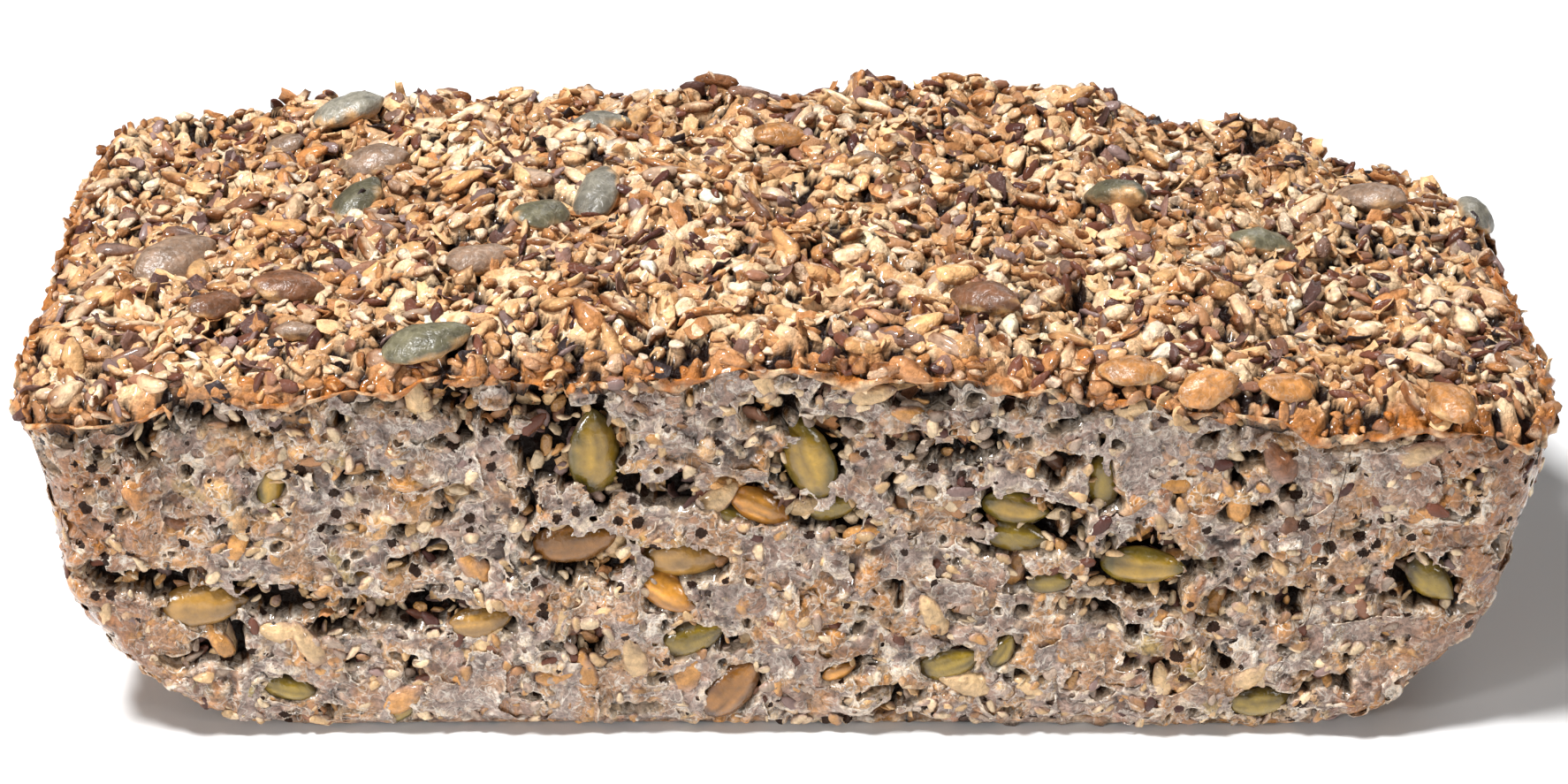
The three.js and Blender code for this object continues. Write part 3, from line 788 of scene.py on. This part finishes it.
def crust_mesh():
    """A square net for the top, with rows hung from its edge for the band, closed underneath."""
    net = bmesh.new()
    bmesh.ops.create_grid(net, x_segments=CRUST_CELLS[0], y_segments=CRUST_CELLS[1], size=1)
    for row in range(1, BAND_ROWS + 1):
        border = [edge for edge in net.edges if edge.is_boundary]
        hung = bmesh.ops.extrude_edge_only(net, edges=border)["geom"]
        for part in hung:
            if isinstance(part, bmesh.types.BMVert):
                part.co.z = -row
    border = [edge for edge in net.edges if edge.is_boundary]
    bmesh.ops.contextual_create(net, geom=border)
    bmesh.ops.recalc_face_normals(net, faces=net.faces)
    return mesh_of(net, "crust")


def crust_plan(u, v):
    ring = np.maximum(abs(u), abs(v))
    safe = np.maximum(ring, 1e-6)
    plan = rim_plan(u / safe, v / safe) * ring[..., None]
    inward = np.linalg.norm(plan, axis=-1) * (1 / safe - 1)
    return plan, inward


def crust_height(plan, inward):
    drop = np.clip(1 - inward / CRUST_EDGE["inside"], 0, 1) ** 2 * CRUST_EDGE["down"]
    return top_surface(plan[..., 0], plan[..., 1]) - drop


seeded = np.random.default_rng(11)
cells = np.array(CRUST_CELLS)
u, v = np.meshgrid(*(np.linspace(-1, 1, n + 1) for n in cells), indexing="ij")
top_plan, top_inward = crust_plan(u, v)
top_height = crust_height(top_plan, top_inward)

# Lumps of dough-covered seed, packed side by side, each with its own shade.
lump = np.zeros(u.shape)
lump_shade = np.full(u.shape, 0.3)
lumps_left = {}
for kind, (count, longs, shorts, heights) in LUMPS.items():
    lumps_left[kind] = []
    window = int(longs[1] / CELL) + 1
    for middle in seeded.uniform(-1, 1, (count, 2)):
        i, j = np.round((middle + 1) / 2 * cells).astype(int)
        area = np.s_[max(i - window, 0):i + window + 1, max(j - window, 0):j + window + 1]
        away = top_plan[area] - top_plan[i, j]
        angle = seeded.uniform(0, math.pi)
        long, short = seeded.uniform(*longs), seeded.uniform(*shorts)
        lumps_left[kind].append((i, j, angle, long))
        lean = away[..., 0] * math.cos(angle) + away[..., 1] * math.sin(angle)
        side = away[..., 1] * math.cos(angle) - away[..., 0] * math.sin(angle)
        far = (lean / long) ** 2 + (side / short) ** 2
        tipped = 1 + 0.35 * seeded.uniform(-1, 1) * lean / long
        high = seeded.uniform(*heights) * tipped * np.sqrt(np.clip(1 - far, 0, 1))
        higher = high > lump[area]
        joined = np.clip(1 - abs(high - lump[area]) / 0.7, 0, 1) ** 2 * ((high > 0) & (lump[area] > 0))
        lump[area] = np.maximum(high, lump[area]) + 0.17 * joined
        lump_shade[area] = np.where(higher, seeded.uniform(0, 1), lump_shade[area])
spot = stack(top_plan[..., 0], top_plan[..., 1], top_height)
webbing = 0.5 - abs(noise(spot + 910, 2.6)) * 1.8
top_relief = lump - 2.1 + 0.5 * webbing + 0.25 * noise(spot, 1.3)
# Painted shade: the low places between the lumps darken to near black.
crack_shade = smooth_step(-lump - 0.3 * webbing, -1.75, -1.05)
crust_tint = blend_colours(CRUST_GOLD, CRUST_PALE, lump_shade * 1.2 - 0.1)
crust_tint = blend_colours(crust_tint, CRUST_BROWN, 0.8 * smooth_step(rough(spot + 500, 9), 0.15, 0.75))
toast = 0.8 * smooth_step(-top_inward, -5, -0.3) + 0.3 * smooth_step(noise(spot + 560, 11), 0.1, 0.5)
crust_tint = blend_colours(blend_colours(crust_tint, EDGE_BROWN, toast), CRUST_CRACK_SHADE, crack_shade)

crust_net, place = crust_mesh()
index = np.round((place[:, :2] + 1) / 2 * cells).astype(int)
on_top = place[:, 2] > -0.5
crust_at = np.empty_like(place)
crust_at[:, :2] = top_plan[index[:, 0], index[:, 1]]
crust_at[:, 2] = (top_height + top_relief)[index[:, 0], index[:, 1]]
crust_colour = crust_tint[index[:, 0], index[:, 1]]

# The band hangs from the rim, uneven in depth, and turns in under its lower edge.
hung = ~on_top
band_row = -place[hung, 2] / (BAND_ROWS - 1)
edge_plan = crust_at[hung, :2]
edge_z = top_height[index[hung, 0], index[hung, 1]]
edge_spot = stack(edge_plan[:, 0], edge_plan[:, 1], 0)
band_depth = np.clip(1.3 + 1.3 * noise(edge_spot, 8) + 0.9 * noise(edge_spot, 2.7), 0.3, 4)
band_z = edge_z - band_depth * np.minimum(band_row, 1)
band_at = wall_point(edge_plan, band_z, lip=1.1)
tucked = band_row > 1.01
swell = 0.3 * np.sin(np.minimum(band_row, 1) * math.pi) + noise(band_at, 2.2) + 0.6 * noise(band_at, 1.1)
direction = unit(stack(edge_plan[:, 0] * 0.3, edge_plan[:, 1], 0))
band_at += np.where(tucked, -2.6, swell)[:, None] * direction
crust_at[hung] = band_at
band_pale = 0.25 + 0.9 * noise(band_at, 1.1) + 0.5 * rough(band_at + 80, 4)
band_mix = blend_colours(EDGE_BROWN, CRUST_PALE, band_pale)
# Painted shade darkens the band in patches, mostly where it sinks in.
crust_colour[hung] = blend_colours(band_mix, CRUST_CRACK_SHADE, -1.2 * noise(band_at, 2.2))
baked_crust = grained("baked crust", 0.34, 1200.0, 1.4, cells=0.2, bump=0.0007, **BAKED)
finish_mesh("crust", crust_net, crust_at, crust_colour, baked_crust)

crust_place = stack(top_plan[..., 0], top_plan[..., 1], top_height + top_relief)
slope = np.cross(np.gradient(spot, axis=0), np.gradient(spot, axis=1))
by_edge = smooth_step(-top_inward, -4, 0)[..., None]
crust_facing = unit(unit(slope) + by_edge * unit(top_plan * [0.3, 1]) @ np.eye(2, 3))


def take_lumps(kind, count):
    """The next lumps that no seed has taken yet: places, facings, turns, lengths and how toasted."""
    taken, lumps_left[kind] = lumps_left[kind][:count], lumps_left[kind][count:]
    i, j = np.array([lump[:2] for lump in taken]).T
    turn, long = np.array([lump[2:] for lump in taken]).T
    turn = np.where(top_inward[i, j] < 4.5, 0.35 * np.sin(2 * turn), turn)
    return crust_place[i, j], crust_facing[i, j], turn, long[:, None], toast[i, j]


# ------------------------
# Pumpkin seeds in the walls. Hulled green kernels, moist and glossy, lie in the torn hollows or
# nearly flush with the skin. Their edge is greener than their middle; some are baked amber.
WOBBLE = 2.1  # how wide the lumps are that make a seed uneven
OTHER_TONES = [OLIVE, GREEN, AMBER, STRAW]
OTHER_FLUSH = [  # wall, and place on it, of the seeds that lie flush with the walls not seen in front
    ("back", 100, 16), ("back", 72, 9), ("back", 40, 26), ("back", 12, 12), ("back", -20, 34),
    ("back", -48, 14), ("back", -80, 22), ("left", -18, 24), ("left", 10, 44), ("right", 14, 40),
    ("right", -12, 22), ("back", 60, 48), ("back", -66, 50), ("back", 2, 56),
]


def seed_form(long, wide, thick, sides, bands, egg=0.0, flat=0.0, tip=0.0):
    """One seed, long in X and flat in Z: a ball with its poles at the tips, pressed to shape."""
    seed = bmesh.new()
    bmesh.ops.create_uvsphere(seed, u_segments=sides, v_segments=bands, radius=0.5)
    bmesh.ops.rotate(seed, verts=seed.verts, matrix=Matrix.Rotation(math.pi / 2, 3, "Y"))
    for vert in seed.verts:
        slim = (1 - egg * vert.co.x * 2) * max(1.001 - max(vert.co.x * 2, 0) ** 2, 0) ** tip
        rim = 1 - flat * (1 - abs(vert.co.z) * 2)
        vert.co = (vert.co.x * long, vert.co.y * wide * slim, vert.co.z * thick * rim)
    return form_arrays(seed)


def form_arrays(form):
    """The points and triangles of a small form, to be copied many times."""
    bmesh.ops.triangulate(form, faces=form.faces)
    form.verts.index_update()
    points = np.array([vert.co for vert in form.verts])
    faces = np.array([[vert.index for vert in face.verts] for face in form.faces])
    form.free()
    return points, faces


def sow(name, form, material, at, out, turn, tint, size=1.0, roll=0.0, pitch=0.0, wobble=0.0, middle=None,
        coat=None, coated=0.0, streaks=0.0):
    """One piece of many seeds: a copy of the form at each place, its flat side facing `out`.
    `wobble` makes each uneven, `middle` tints its middle and `coat` covers it up to `coated`."""
    points, faces = form
    count = len(at)
    out = unit(np.broadcast_to(out, (count, 3)))
    steep = abs(out[:, 2:]) < 0.8
    level = unit(np.where(steep, np.cross([0, 0, 1], out), [1, 0, 0] - out * out[:, :1]))
    turn, roll, pitch = (np.broadcast_to(angle, count)[:, None] for angle in (turn, roll, pitch))
    first = level * np.cos(turn) + np.cross(out, level) * np.sin(turn)
    second = np.cross(out, first)
    tipped = out * np.cos(roll) + second * np.sin(roll)
    second = np.cross(tipped, first)
    dipped = first * np.cos(pitch) + tipped * np.sin(pitch)
    axes = np.stack([dipped, second, tipped * np.cos(pitch) - first * np.sin(pitch)], axis=1)
    size = np.broadcast_to(size, (count, 3))
    placed = at[:, None] + np.einsum("nkj,nji->nki", points * size[:, None], axes)
    for share, apart, wide in ((wobble, 77, WOBBLE), (0.35 * wobble, 55, WOBBLE / 2.5)):
        placed = placed + share * stack(*(noise(placed + apart * axis, wide) for axis in range(3)))
    placed[..., 2] = np.maximum(placed[..., 2], 0.1)
    colour = np.broadcast_to(tint[:, None], placed.shape)
    if middle is not None:
        reach = abs(points).max(axis=0)
        inner = 1 - np.hypot(points[:, 0] / reach[0], points[:, 1] / reach[1])
        share = smooth_step(inner + 0.25 * noise(placed + 140, 1.6), 0.05, 0.5)
        colour = colour + (middle[:, None] - colour) * share[..., None]
    if streaks:
        own_lines = points[:, 2] + 1.7 * np.arange(count)[:, None]
        lines = noise(stack(points[:, 0] * 0.15, points[:, 1], own_lines), 0.9)
        colour = colour * (1 + streaks * lines)[..., None]
    if coat is not None:
        high = points[:, 2] / abs(points[:, 2]).max()
        share = smooth_step(0.8 * noise(placed + 300, 2.0) - high, -coated - 0.3, -coated + 0.3)
        colour = colour + (coat - colour) * share[..., None]
    mesh = bpy.data.meshes.new(name)
    faces = (faces[None] + np.arange(count)[:, None, None] * len(points)).reshape(-1, 3)
    mesh.vertices.add(count * len(points))
    mesh.loops.add(faces.size)
    mesh.polygons.add(len(faces))
    mesh.loops.foreach_set("vertex_index", faces.ravel().astype(np.int32))
    mesh.polygons.foreach_set("loop_start", np.arange(0, faces.size, 3, dtype=np.int32))
    finish_mesh(name, mesh, placed.reshape(-1, 3), colour.reshape(-1, 3), material)


def uneven(tint, seeded, amount=0.12):
    """Each seed's colour a little lighter or darker than its kind's."""
    return np.clip(tint * (1 + amount * seeded.normal(size=(len(tint), 1))), 0.01, 0.95)


def pick(palette, count, seeded, toasted=0.0):
    """Colours for many seeds from a list of colours and their shares, browner where toasted."""
    chosen = np.array([colour for colour, _ in palette])[choose(palette, count, seeded)]
    return blend_colours(chosen, EDGE_BROWN, toasted + np.zeros(count))


seeded = np.random.default_rng(31)
lain = [
    (wall_place("front", x, z, turn, sunk), size, tone)
    for x, z, turn, size, tone, sunk in WALL_PUMPKINS
]
for number, h in enumerate(h for h in all_hollows() if h["face"] != "front"):
    place = wall_place(h["face"], h["along"], h["z"], h["turn"], SUNK - 0.3)
    lain.append((place, h["size"], OTHER_TONES[number % len(OTHER_TONES)]))
for number, (face, x, z) in enumerate(OTHER_FLUSH):  # left out where it would lie over another seed
    place, size = wall_place(face, x, z, seeded.uniform(-90, 90), FLUSH), seeded.uniform(0.55, 0.95)
    if min(np.linalg.norm(place[0] - other[0]) for other, _, _ in lain) > PUMPKIN["long"]:
        lain.append((place, size, OTHER_TONES[number % len(OTHER_TONES)]))
pumpkin_form = seed_form(**PUMPKIN, sides=24, bands=16, egg=0.1, flat=0.3, tip=0.3)
sow(
    "pumpkin_seeds_moist",
    pumpkin_form,
    grained("moist pumpkin seed", 0.22, 520.0, 1.1, bump=0.0002, coat=0.6),
    at=np.array([place[0] for place, _, _ in lain]),
    out=np.array([place[3] + 0.06 * seeded.normal(size=3) for place, _, _ in lain]),
    turn=np.array([
        math.atan2(first[2], first @ np.cross([0, 0, 1], out)) for (_, first, _, out), _, _ in lain
    ]),
    tint=uneven(np.array([tone[1] for _, _, tone in lain]), seeded),
    middle=np.array([tone[0] for _, _, tone in lain]),
    size=np.array([size for _, size, _ in lain])[:, None] * [1.04, 0.92, 1.0],
    roll=seeded.uniform(-0.25, 0.25, len(lain)),
    wobble=0.16,
    coat=SKIN_FILM,
    coated=-0.45,
    streaks=0.6,
)

# ------------------------
# Pumpkin seeds on the crust. Baked dry, they puff up and turn blue-grey, dark green or brown,
# with pale flecks of dough and skin on them. A few lie on the front rim, baked orange-tan.
SLATE = paint(128, 123, 110)
DARK_GREEN = paint(100, 95, 74)
GREY_BROWN = paint(126, 102, 84)
BAKED_BROWN = paint(108, 72, 50)
ORANGE_TAN = paint(172, 118, 66)
CRUST_PUMPKINS = [  # place, turn, size, tone
    (-73, 41, 15, 1, SLATE),
    (-67, 20, 0, 1, GREY_BROWN),
    (-68, 6, 60, 0.95, DARK_GREEN),
    (-95, -10, 40, 1.15, GREY_BROWN),
    (-76, -24, 0, 0.9, BAKED_BROWN),
    (-53, -45, 12, 1.05, DARK_GREEN),
    (-31, 28, 0, 0.85, SLATE),
    (-30, 4, 80, 1, SLATE),
    (-38, -7, 55, 0.95, DARK_GREEN),
    (-47, -18, 20, 0.85, GREY_BROWN),
    (52, 2, -60, 1.05, DARK_GREEN),
    (75, -1, 10, 0.9, DARK_GREEN),
    (95, 19, -30, 1, GREY_BROWN),
    (30, -32, -35, 0.95, BAKED_BROWN),
    (-1, 24, 5, 0.75, ORANGE_TAN),
    (112, 20, 75, 0.95, SLATE),
    (51, -46, 0, 0.8, ORANGE_TAN),
    (62, -47, 8, 0.75, ORANGE_TAN),
    (74, -45, 20, 0.75, ORANGE_TAN),
    (98, -46.5, -70, 0.9, ORANGE_TAN),
    (-83, 34, 10, 0.6, GREY_BROWN),
    (-87, -26, 30, 0.7, BAKED_BROWN),
    (13, 10, 40, 0.6, GREY_BROWN),
    (-73, -37, 0, 0.6, GREY_BROWN),
]

seeded = np.random.default_rng(37)
table = np.array([row[:4] for row in CRUST_PUMPKINS], float)
nearest = [np.argmin(np.linalg.norm(top_plan - place, axis=-1)) for place in table[:, :2]]
facing = crust_facing.reshape(-1, 3)[nearest]
at = np.column_stack([table[:, :2], top_height.ravel()[nearest]]) + facing * 0.6
sow(
    "pumpkin_seeds_baked",
    pumpkin_form,
    grained("baked pumpkin seed", 0.36, 700.0, 1.7, threads=1.0, bump=0.0003),
    at=at,
    out=facing,
    turn=np.radians(table[:, 2]),
    tint=uneven(np.array([row[4] for row in CRUST_PUMPKINS]), seeded),
    size=table[:, 3:] * [1, 1, 1.35],
    roll=seeded.uniform(-0.2, 0.2, len(table)),
    pitch=seeded.uniform(-0.15, 0.15, len(table)),
    wobble=0.35,
    coat=paint(200, 158, 108),
    coated=-0.12,
    streaks=0.4,
)

# ------------------------
# Sunflower kernels. Grey when raw and tan when baked, they lie all over the crust, half sunk in
# it, and show here and there in the walls.
MOIST_KERNELS = shades((208, 174, 130, 5), (198, 142, 80, 3), (116, 76, 52, 1))
SUNFLOWER_TONES = shades(
    (234, 200, 162, 6), (212, 165, 114, 5), (176, 150, 128, 1.6), (126, 100, 88, 1.3),
    (192, 132, 82, 1.4),
)
KERNEL = {"long": 9.0, "wide": 4.0, "thick": 2.2}
IN_HOLLOW = 1.2


def clear_of_pumpkins(at, room):
    gaps = np.linalg.norm(at[:, None, :2] - table[None, :, :2], axis=2).min(axis=1)
    return gaps > room


def wall_spots(count, seeded, hollow):
    """Random places of the wall, in its hollows or on its skin, and the way that they face."""
    column = seeded.integers(COLUMNS, size=count * 12)
    row = seeded.integers(WALL_ROWS - 3, size=count * 12)
    good = (wall[column, row, 2] > 2.0) & ((depth[column, row] > IN_HOLLOW) == hollow)
    column, row = column[good][:count], row[good][:count]
    return wall_at[column, row], outward[column, row]


def in_walls(seeded, on_skin, sunk, in_hollows, raised):
    """Places and facings of seeds sunk in the skin, then of those raised from a hollow's bottom,
    and which of them are on the skin."""
    skin_at, skin_facing = wall_spots(on_skin, seeded, hollow=False)
    hollow_at, hollow_facing = wall_spots(in_hollows, seeded, hollow=True)
    if np.ndim(raised):
        raised = seeded.uniform(*raised, (len(hollow_at), 1))
    at = np.concatenate([skin_at - skin_facing * sunk, hollow_at + hollow_facing * raised])
    return at, np.concatenate([skin_facing, hollow_facing]), np.arange(len(at)) < len(skin_at)


seeded = np.random.default_rng(41)
kernel_lumps = take_lumps("kernels", 430)
keep = clear_of_pumpkins(kernel_lumps[0], 5)
at, facing, turn, long, toasted = (part[keep] for part in kernel_lumps)
on_top = len(at)
in_wall, wall_facing, _ = in_walls(seeded, on_skin=80, sunk=0.6, in_hollows=70, raised=0.4)
at = np.concatenate([at - facing * 0.5, in_wall])
facing = np.concatenate([facing, wall_facing])
many = len(at)
long = np.concatenate([long * 2 / KERNEL["long"], seeded.uniform(0.6, 1.0, (len(in_wall), 1))])
flatter = np.where(np.arange(many) < on_top, 1.0, 0.3)
sow(
    "sunflower_kernels",
    seed_form(**KERNEL, sides=8, bands=6, egg=0.35),
    grained("baked kernel", 0.32, 900.0, 1.3, cells=0.15, bump=0.0005, **BAKED),
    at=at,
    out=facing + 0.25 * flatter[:, None] * seeded.normal(size=(many, 3)),
    turn=np.concatenate([turn, seeded.uniform(0, math.pi, len(in_wall))]),
    tint=uneven(
        np.concatenate([
            pick(SUNFLOWER_TONES, on_top, seeded, toasted), pick(MOIST_KERNELS, len(in_wall), seeded),
        ]),
        seeded,
    ),
    size=long * seeded.uniform([0.95, 0.9, 1.0], [1.1, 1.25, 1.5], (many, 3)),
    roll=seeded.uniform(-0.6, 0.6, many) * flatter,
    wobble=0.25,
    # The crust's kernels have dough on their lower flanks, darkened as painted shade.
    coat=np.where(np.arange(many)[:, None, None] < on_top, SEED_FLANK_DOUGH_AND_SHADE, SKIN),
    coated=0.2,
    streaks=0.25,
)

# ------------------------
# Linseed. Small, flat, pointed and glossy, purple-brown to nearly black, strewn through the
# crust and seen in the walls and their hollows.
LINSEED_TONES = shades(
    (104, 64, 50, 4), (78, 48, 42, 2), (140, 98, 76, 3), (132, 108, 102, 3), (168, 122, 86, 2),
)
seeded = np.random.default_rng(43)
at, facing, turn, _, _ = take_lumps("grains", 850)
on_top = len(at)
in_wall, wall_facing, _ = in_walls(seeded, on_skin=170, sunk=0.3, in_hollows=190, raised=0.5)
at = np.concatenate([at + facing * seeded.uniform(-0.5, 0.3, (on_top, 1)), in_wall])
facing = np.concatenate([facing, wall_facing])
many = len(at)
flatter = np.where(np.arange(many) < on_top, 1.0, 0.35)
sow(
    "linseed",
    seed_form(long=4.6, wide=2.3, thick=1.1, sides=7, bands=5, egg=0.25),
    grained("linseed skin", 0.24, 700.0, 0.8, bump=0.0003, specular=0.25),
    at=at,
    out=facing + 0.45 * flatter[:, None] * seeded.normal(size=(many, 3)),
    turn=seeded.uniform(0, 2 * math.pi, many),
    tint=uneven(pick(LINSEED_TONES, many, seeded), seeded),
    size=seeded.uniform(0.7, 1.1, (many, 1)),
    roll=seeded.uniform(-0.6, 0.6, many) * flatter,
    wobble=0.3,
)

# ------------------------
# Sesame. The smallest whole seeds: drop-shaped, cream in the moist walls and toasted tan on the
# crust, where they lie thickest.
TOASTED_SESAME = shades(
    (238, 208, 170, 5), (218, 176, 132, 4), (192, 144, 98, 2.5), (246, 226, 198, 0.5),
)
MOIST_SESAME = shades(
    (224, 196, 158, 5), (210, 172, 124, 3), (190, 140, 84, 2), (150, 108, 70, 1),
    (164, 142, 124, 2),
)
sesame_form = seed_form(long=3.1, wide=1.9, thick=0.95, sides=6, bands=5, egg=0.3)
seeded = np.random.default_rng(47)
at, facing, turn, long, toasted = take_lumps("grains", 1400)
on_top = len(at)
sow(
    "sesame_toasted",
    sesame_form,
    grained("toasted sesame", 0.34, 900.0, 1.1, cells=0.2, bump=0.0005, **BAKED),
    at=at + facing * seeded.uniform(-0.4, 0.3, (on_top, 1)),
    out=facing + 0.4 * seeded.normal(size=(on_top, 3)),
    turn=turn,
    tint=uneven(pick(TOASTED_SESAME, on_top, seeded, toasted), seeded),
    size=0.35 + 0.4 * long * seeded.uniform(0.8, 1.1, (on_top, 1)),
    wobble=0.45,
    # The lower flanks take dough colour, darkened as painted shade.
    coat=SEED_FLANK_DOUGH_AND_SHADE,
    coated=0.1,
)

seeded = np.random.default_rng(53)
at, facing, on_skin = in_walls(seeded, on_skin=1500, sunk=0.15, in_hollows=1100, raised=(0.2, 2.0))
many = len(at)
loose = np.where(on_skin, 0.1, 0.8)[:, None]
sow(
    "sesame_moist",
    sesame_form,
    grained("moist sesame", 0.3, 900.0, 1.0, cells=0.2, bump=0.0005),
    at=at,
    out=facing + loose * seeded.normal(size=(many, 3)),
    turn=seeded.uniform(0, 2 * math.pi, many),
    tint=uneven(pick(MOIST_SESAME, many, seeded), seeded),
    size=seeded.uniform(0.5, 1.15, (many, 1)),
    wobble=0.5,
    coat=SKIN,
    coated=np.where(on_skin, 0.3, -0.5)[:, None],
)

# ------------------------
# Dough crumbs. Chopped seeds and grain coated in dough, baked golden: rounded and uneven, they
# fill the crust between the whole seeds and hang on its edge.
CRUMB_TONES = shades(
    (238, 211, 180, 5), (216, 171, 124, 5), (196, 143, 94, 3.4), (248, 230, 206, 0.6),
    (162, 110, 68, 1.4), (136, 106, 92, 1.1),
)


def crumb_form():
    """A rounded crumb, which each copy's place makes uneven."""
    ball = bmesh.new()
    bmesh.ops.create_icosphere(ball, subdivisions=2, radius=0.5)
    return form_arrays(ball)


seeded = np.random.default_rng(59)
at, facing, turn, long, toasted = take_lumps("grains", 2100)
on_top = len(at)
columns = np.arange(0, COLUMNS, 5)
edge_z = wall[columns, -1, 2] - seeded.uniform(-1.5, 1.6, len(columns))
edge_at = wall_point(rim[columns], edge_z, lip=0.6)
at = np.concatenate([at + facing * seeded.uniform(-0.8, 0.1, (on_top, 1)), edge_at])
facing = np.concatenate([facing, outward[columns, -1]])
many = len(at)
grown = np.concatenate([long / 1.8, seeded.uniform(0.5, 0.95, (len(columns), 1))])
sow(
    "dough_crumbs",
    crumb_form(),
    grained("baked dough", 0.34, 1100.0, 1.4, cells=0.2, bump=0.0007, **BAKED),
    at=at,
    out=facing + 0.4 * seeded.normal(size=(many, 3)),
    turn=seeded.uniform(0, 2 * math.pi, many),
    tint=uneven(pick(CRUMB_TONES, many, seeded, np.append(toasted, np.full(len(columns), 0.45))), seeded),
    size=grown * seeded.uniform([2.2, 1.6, 1.2], [4.4, 2.7, 2.1], (many, 3)),
    wobble=0.75,
    # The lower flanks take dough colour, darkened as painted shade.
    coat=SEED_FLANK_DOUGH_AND_SHADE,
    coated=0.2,
)

# ------------------------
# Flakes. Split seed coats and bran: thin curled chips, dark purple-brown, near black or tan.
FLAKE_TONES = shades(
    (92, 66, 60, 3), (54, 44, 44, 1.5), (124, 92, 80, 3), (222, 180, 132, 5), (176, 122, 78, 4),
)


def flake_form():
    """A thin chip, curled along its length."""
    chip = bmesh.new()
    bmesh.ops.create_grid(chip, x_segments=3, y_segments=2, size=0.5)
    for vert in chip.verts:
        vert.co.z = 0.9 * vert.co.y**2 + 0.5 * vert.co.x**2 - 0.2
        vert.co.y *= 1 - 1.2 * vert.co.x**2
    bmesh.ops.solidify(chip, geom=chip.verts[:] + chip.edges[:] + chip.faces[:], thickness=0.09)
    bmesh.ops.recalc_face_normals(chip, faces=chip.faces)
    return form_arrays(chip)


seeded = np.random.default_rng(61)
at, facing, _, _, _ = take_lumps("grains", 620)
on_top = len(at)
in_wall, wall_facing = wall_spots(160, seeded, hollow=True)
at = np.concatenate([at + facing * seeded.uniform(-0.3, 0.6, (on_top, 1)), in_wall + wall_facing * 0.6])
facing = np.concatenate([facing, wall_facing])
many = len(at)
sow(
    "flakes",
    flake_form(),
    grained("seed coat", 0.32, 900.0, 1.2, bump=0.0004, specular=0.2),
    at=at,
    out=facing + 0.6 * seeded.normal(size=(many, 3)),
    turn=seeded.uniform(0, 2 * math.pi, many),
    tint=uneven(pick(FLAKE_TONES, many, seeded), seeded),
    size=seeded.uniform([2.2, 1.6, 1.4], [5.2, 3.4, 2.6], (many, 3)),
    roll=seeded.uniform(-0.7, 0.7, many),
    wobble=0.4,
)

# ------------------------
# Stage. A plain pale floor, soft studio lights, and the camera at the photograph's angle. None
# of it belongs to the loaf.
CAMERA_AT = (-1.52, -552.3, 331.1)
LOOKS_DOWN = 28
LENS = 89.1
LIGHTS = [  # place and size in metres, and power in watts
    ("key", (-0.36, -0.26, 1.14), 0.2, 22),
    ("front", (-0.5, -1.0, 0.8), 0.45, 1.1),
    ("low left", (-0.95, -0.8, 0.35), 0.12, 5.4),
    ("low middle", (0.1, -1.2, 0.4), 0.12, 0.3),
    ("low right", (0.9, -0.9, 0.5), 0.2, 2.3),
    ("back", (0.4, 1.0, 0.8), 0.5, 3.5),
]

bpy.ops.mesh.primitive_plane_add(size=8)
floor = bpy.context.object
floor.name = "floor"
floor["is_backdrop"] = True
pale, pale_shader = new_material("pale floor", 0.9, 0.1)
pale_shader.inputs["Base Color"].default_value = (0.86, 0.86, 0.86, 1)
floor.data.materials.append(pale)

camera_data = bpy.data.cameras.new("camera")
camera_data.lens = LENS
camera_data.sensor_width = 36
camera = bpy.data.objects.new("camera", camera_data)
camera.location = [value * MM for value in CAMERA_AT]
camera.rotation_euler = (math.radians(90 - LOOKS_DOWN), 0, 0)
bpy.context.scene.collection.objects.link(camera)
bpy.context.scene.camera = camera


def softbox(name, at, size, power):
    """A square area light that points at the loaf."""
    light = bpy.data.lights.new(name, "AREA")
    light.size = size
    light.energy = power
    holder = bpy.data.objects.new(name, light)
    holder.location = at
    aim = -holder.location.normalized()
    holder.rotation_euler = aim.to_track_quat("-Z", "Y").to_euler()
    bpy.context.scene.collection.objects.link(holder)


for name, at, size, power in LIGHTS:
    softbox(name, at, size, power)

world = bpy.data.worlds.new("studio")
world.use_nodes = True
world.node_tree.nodes["Background"].inputs["Color"].default_value = (1, 1, 1, 1)
world.node_tree.nodes["Background"].inputs["Strength"].default_value = 0.05
bpy.context.scene.world = world
bpy.context.scene.view_settings.view_transform = "Standard"

visual_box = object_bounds()
boxes = {"solids": solid_box, "visual": visual_box}
boxes = {name: [[round(value, 6) for value in corner] for corner in box] for name, box in boxes.items()}
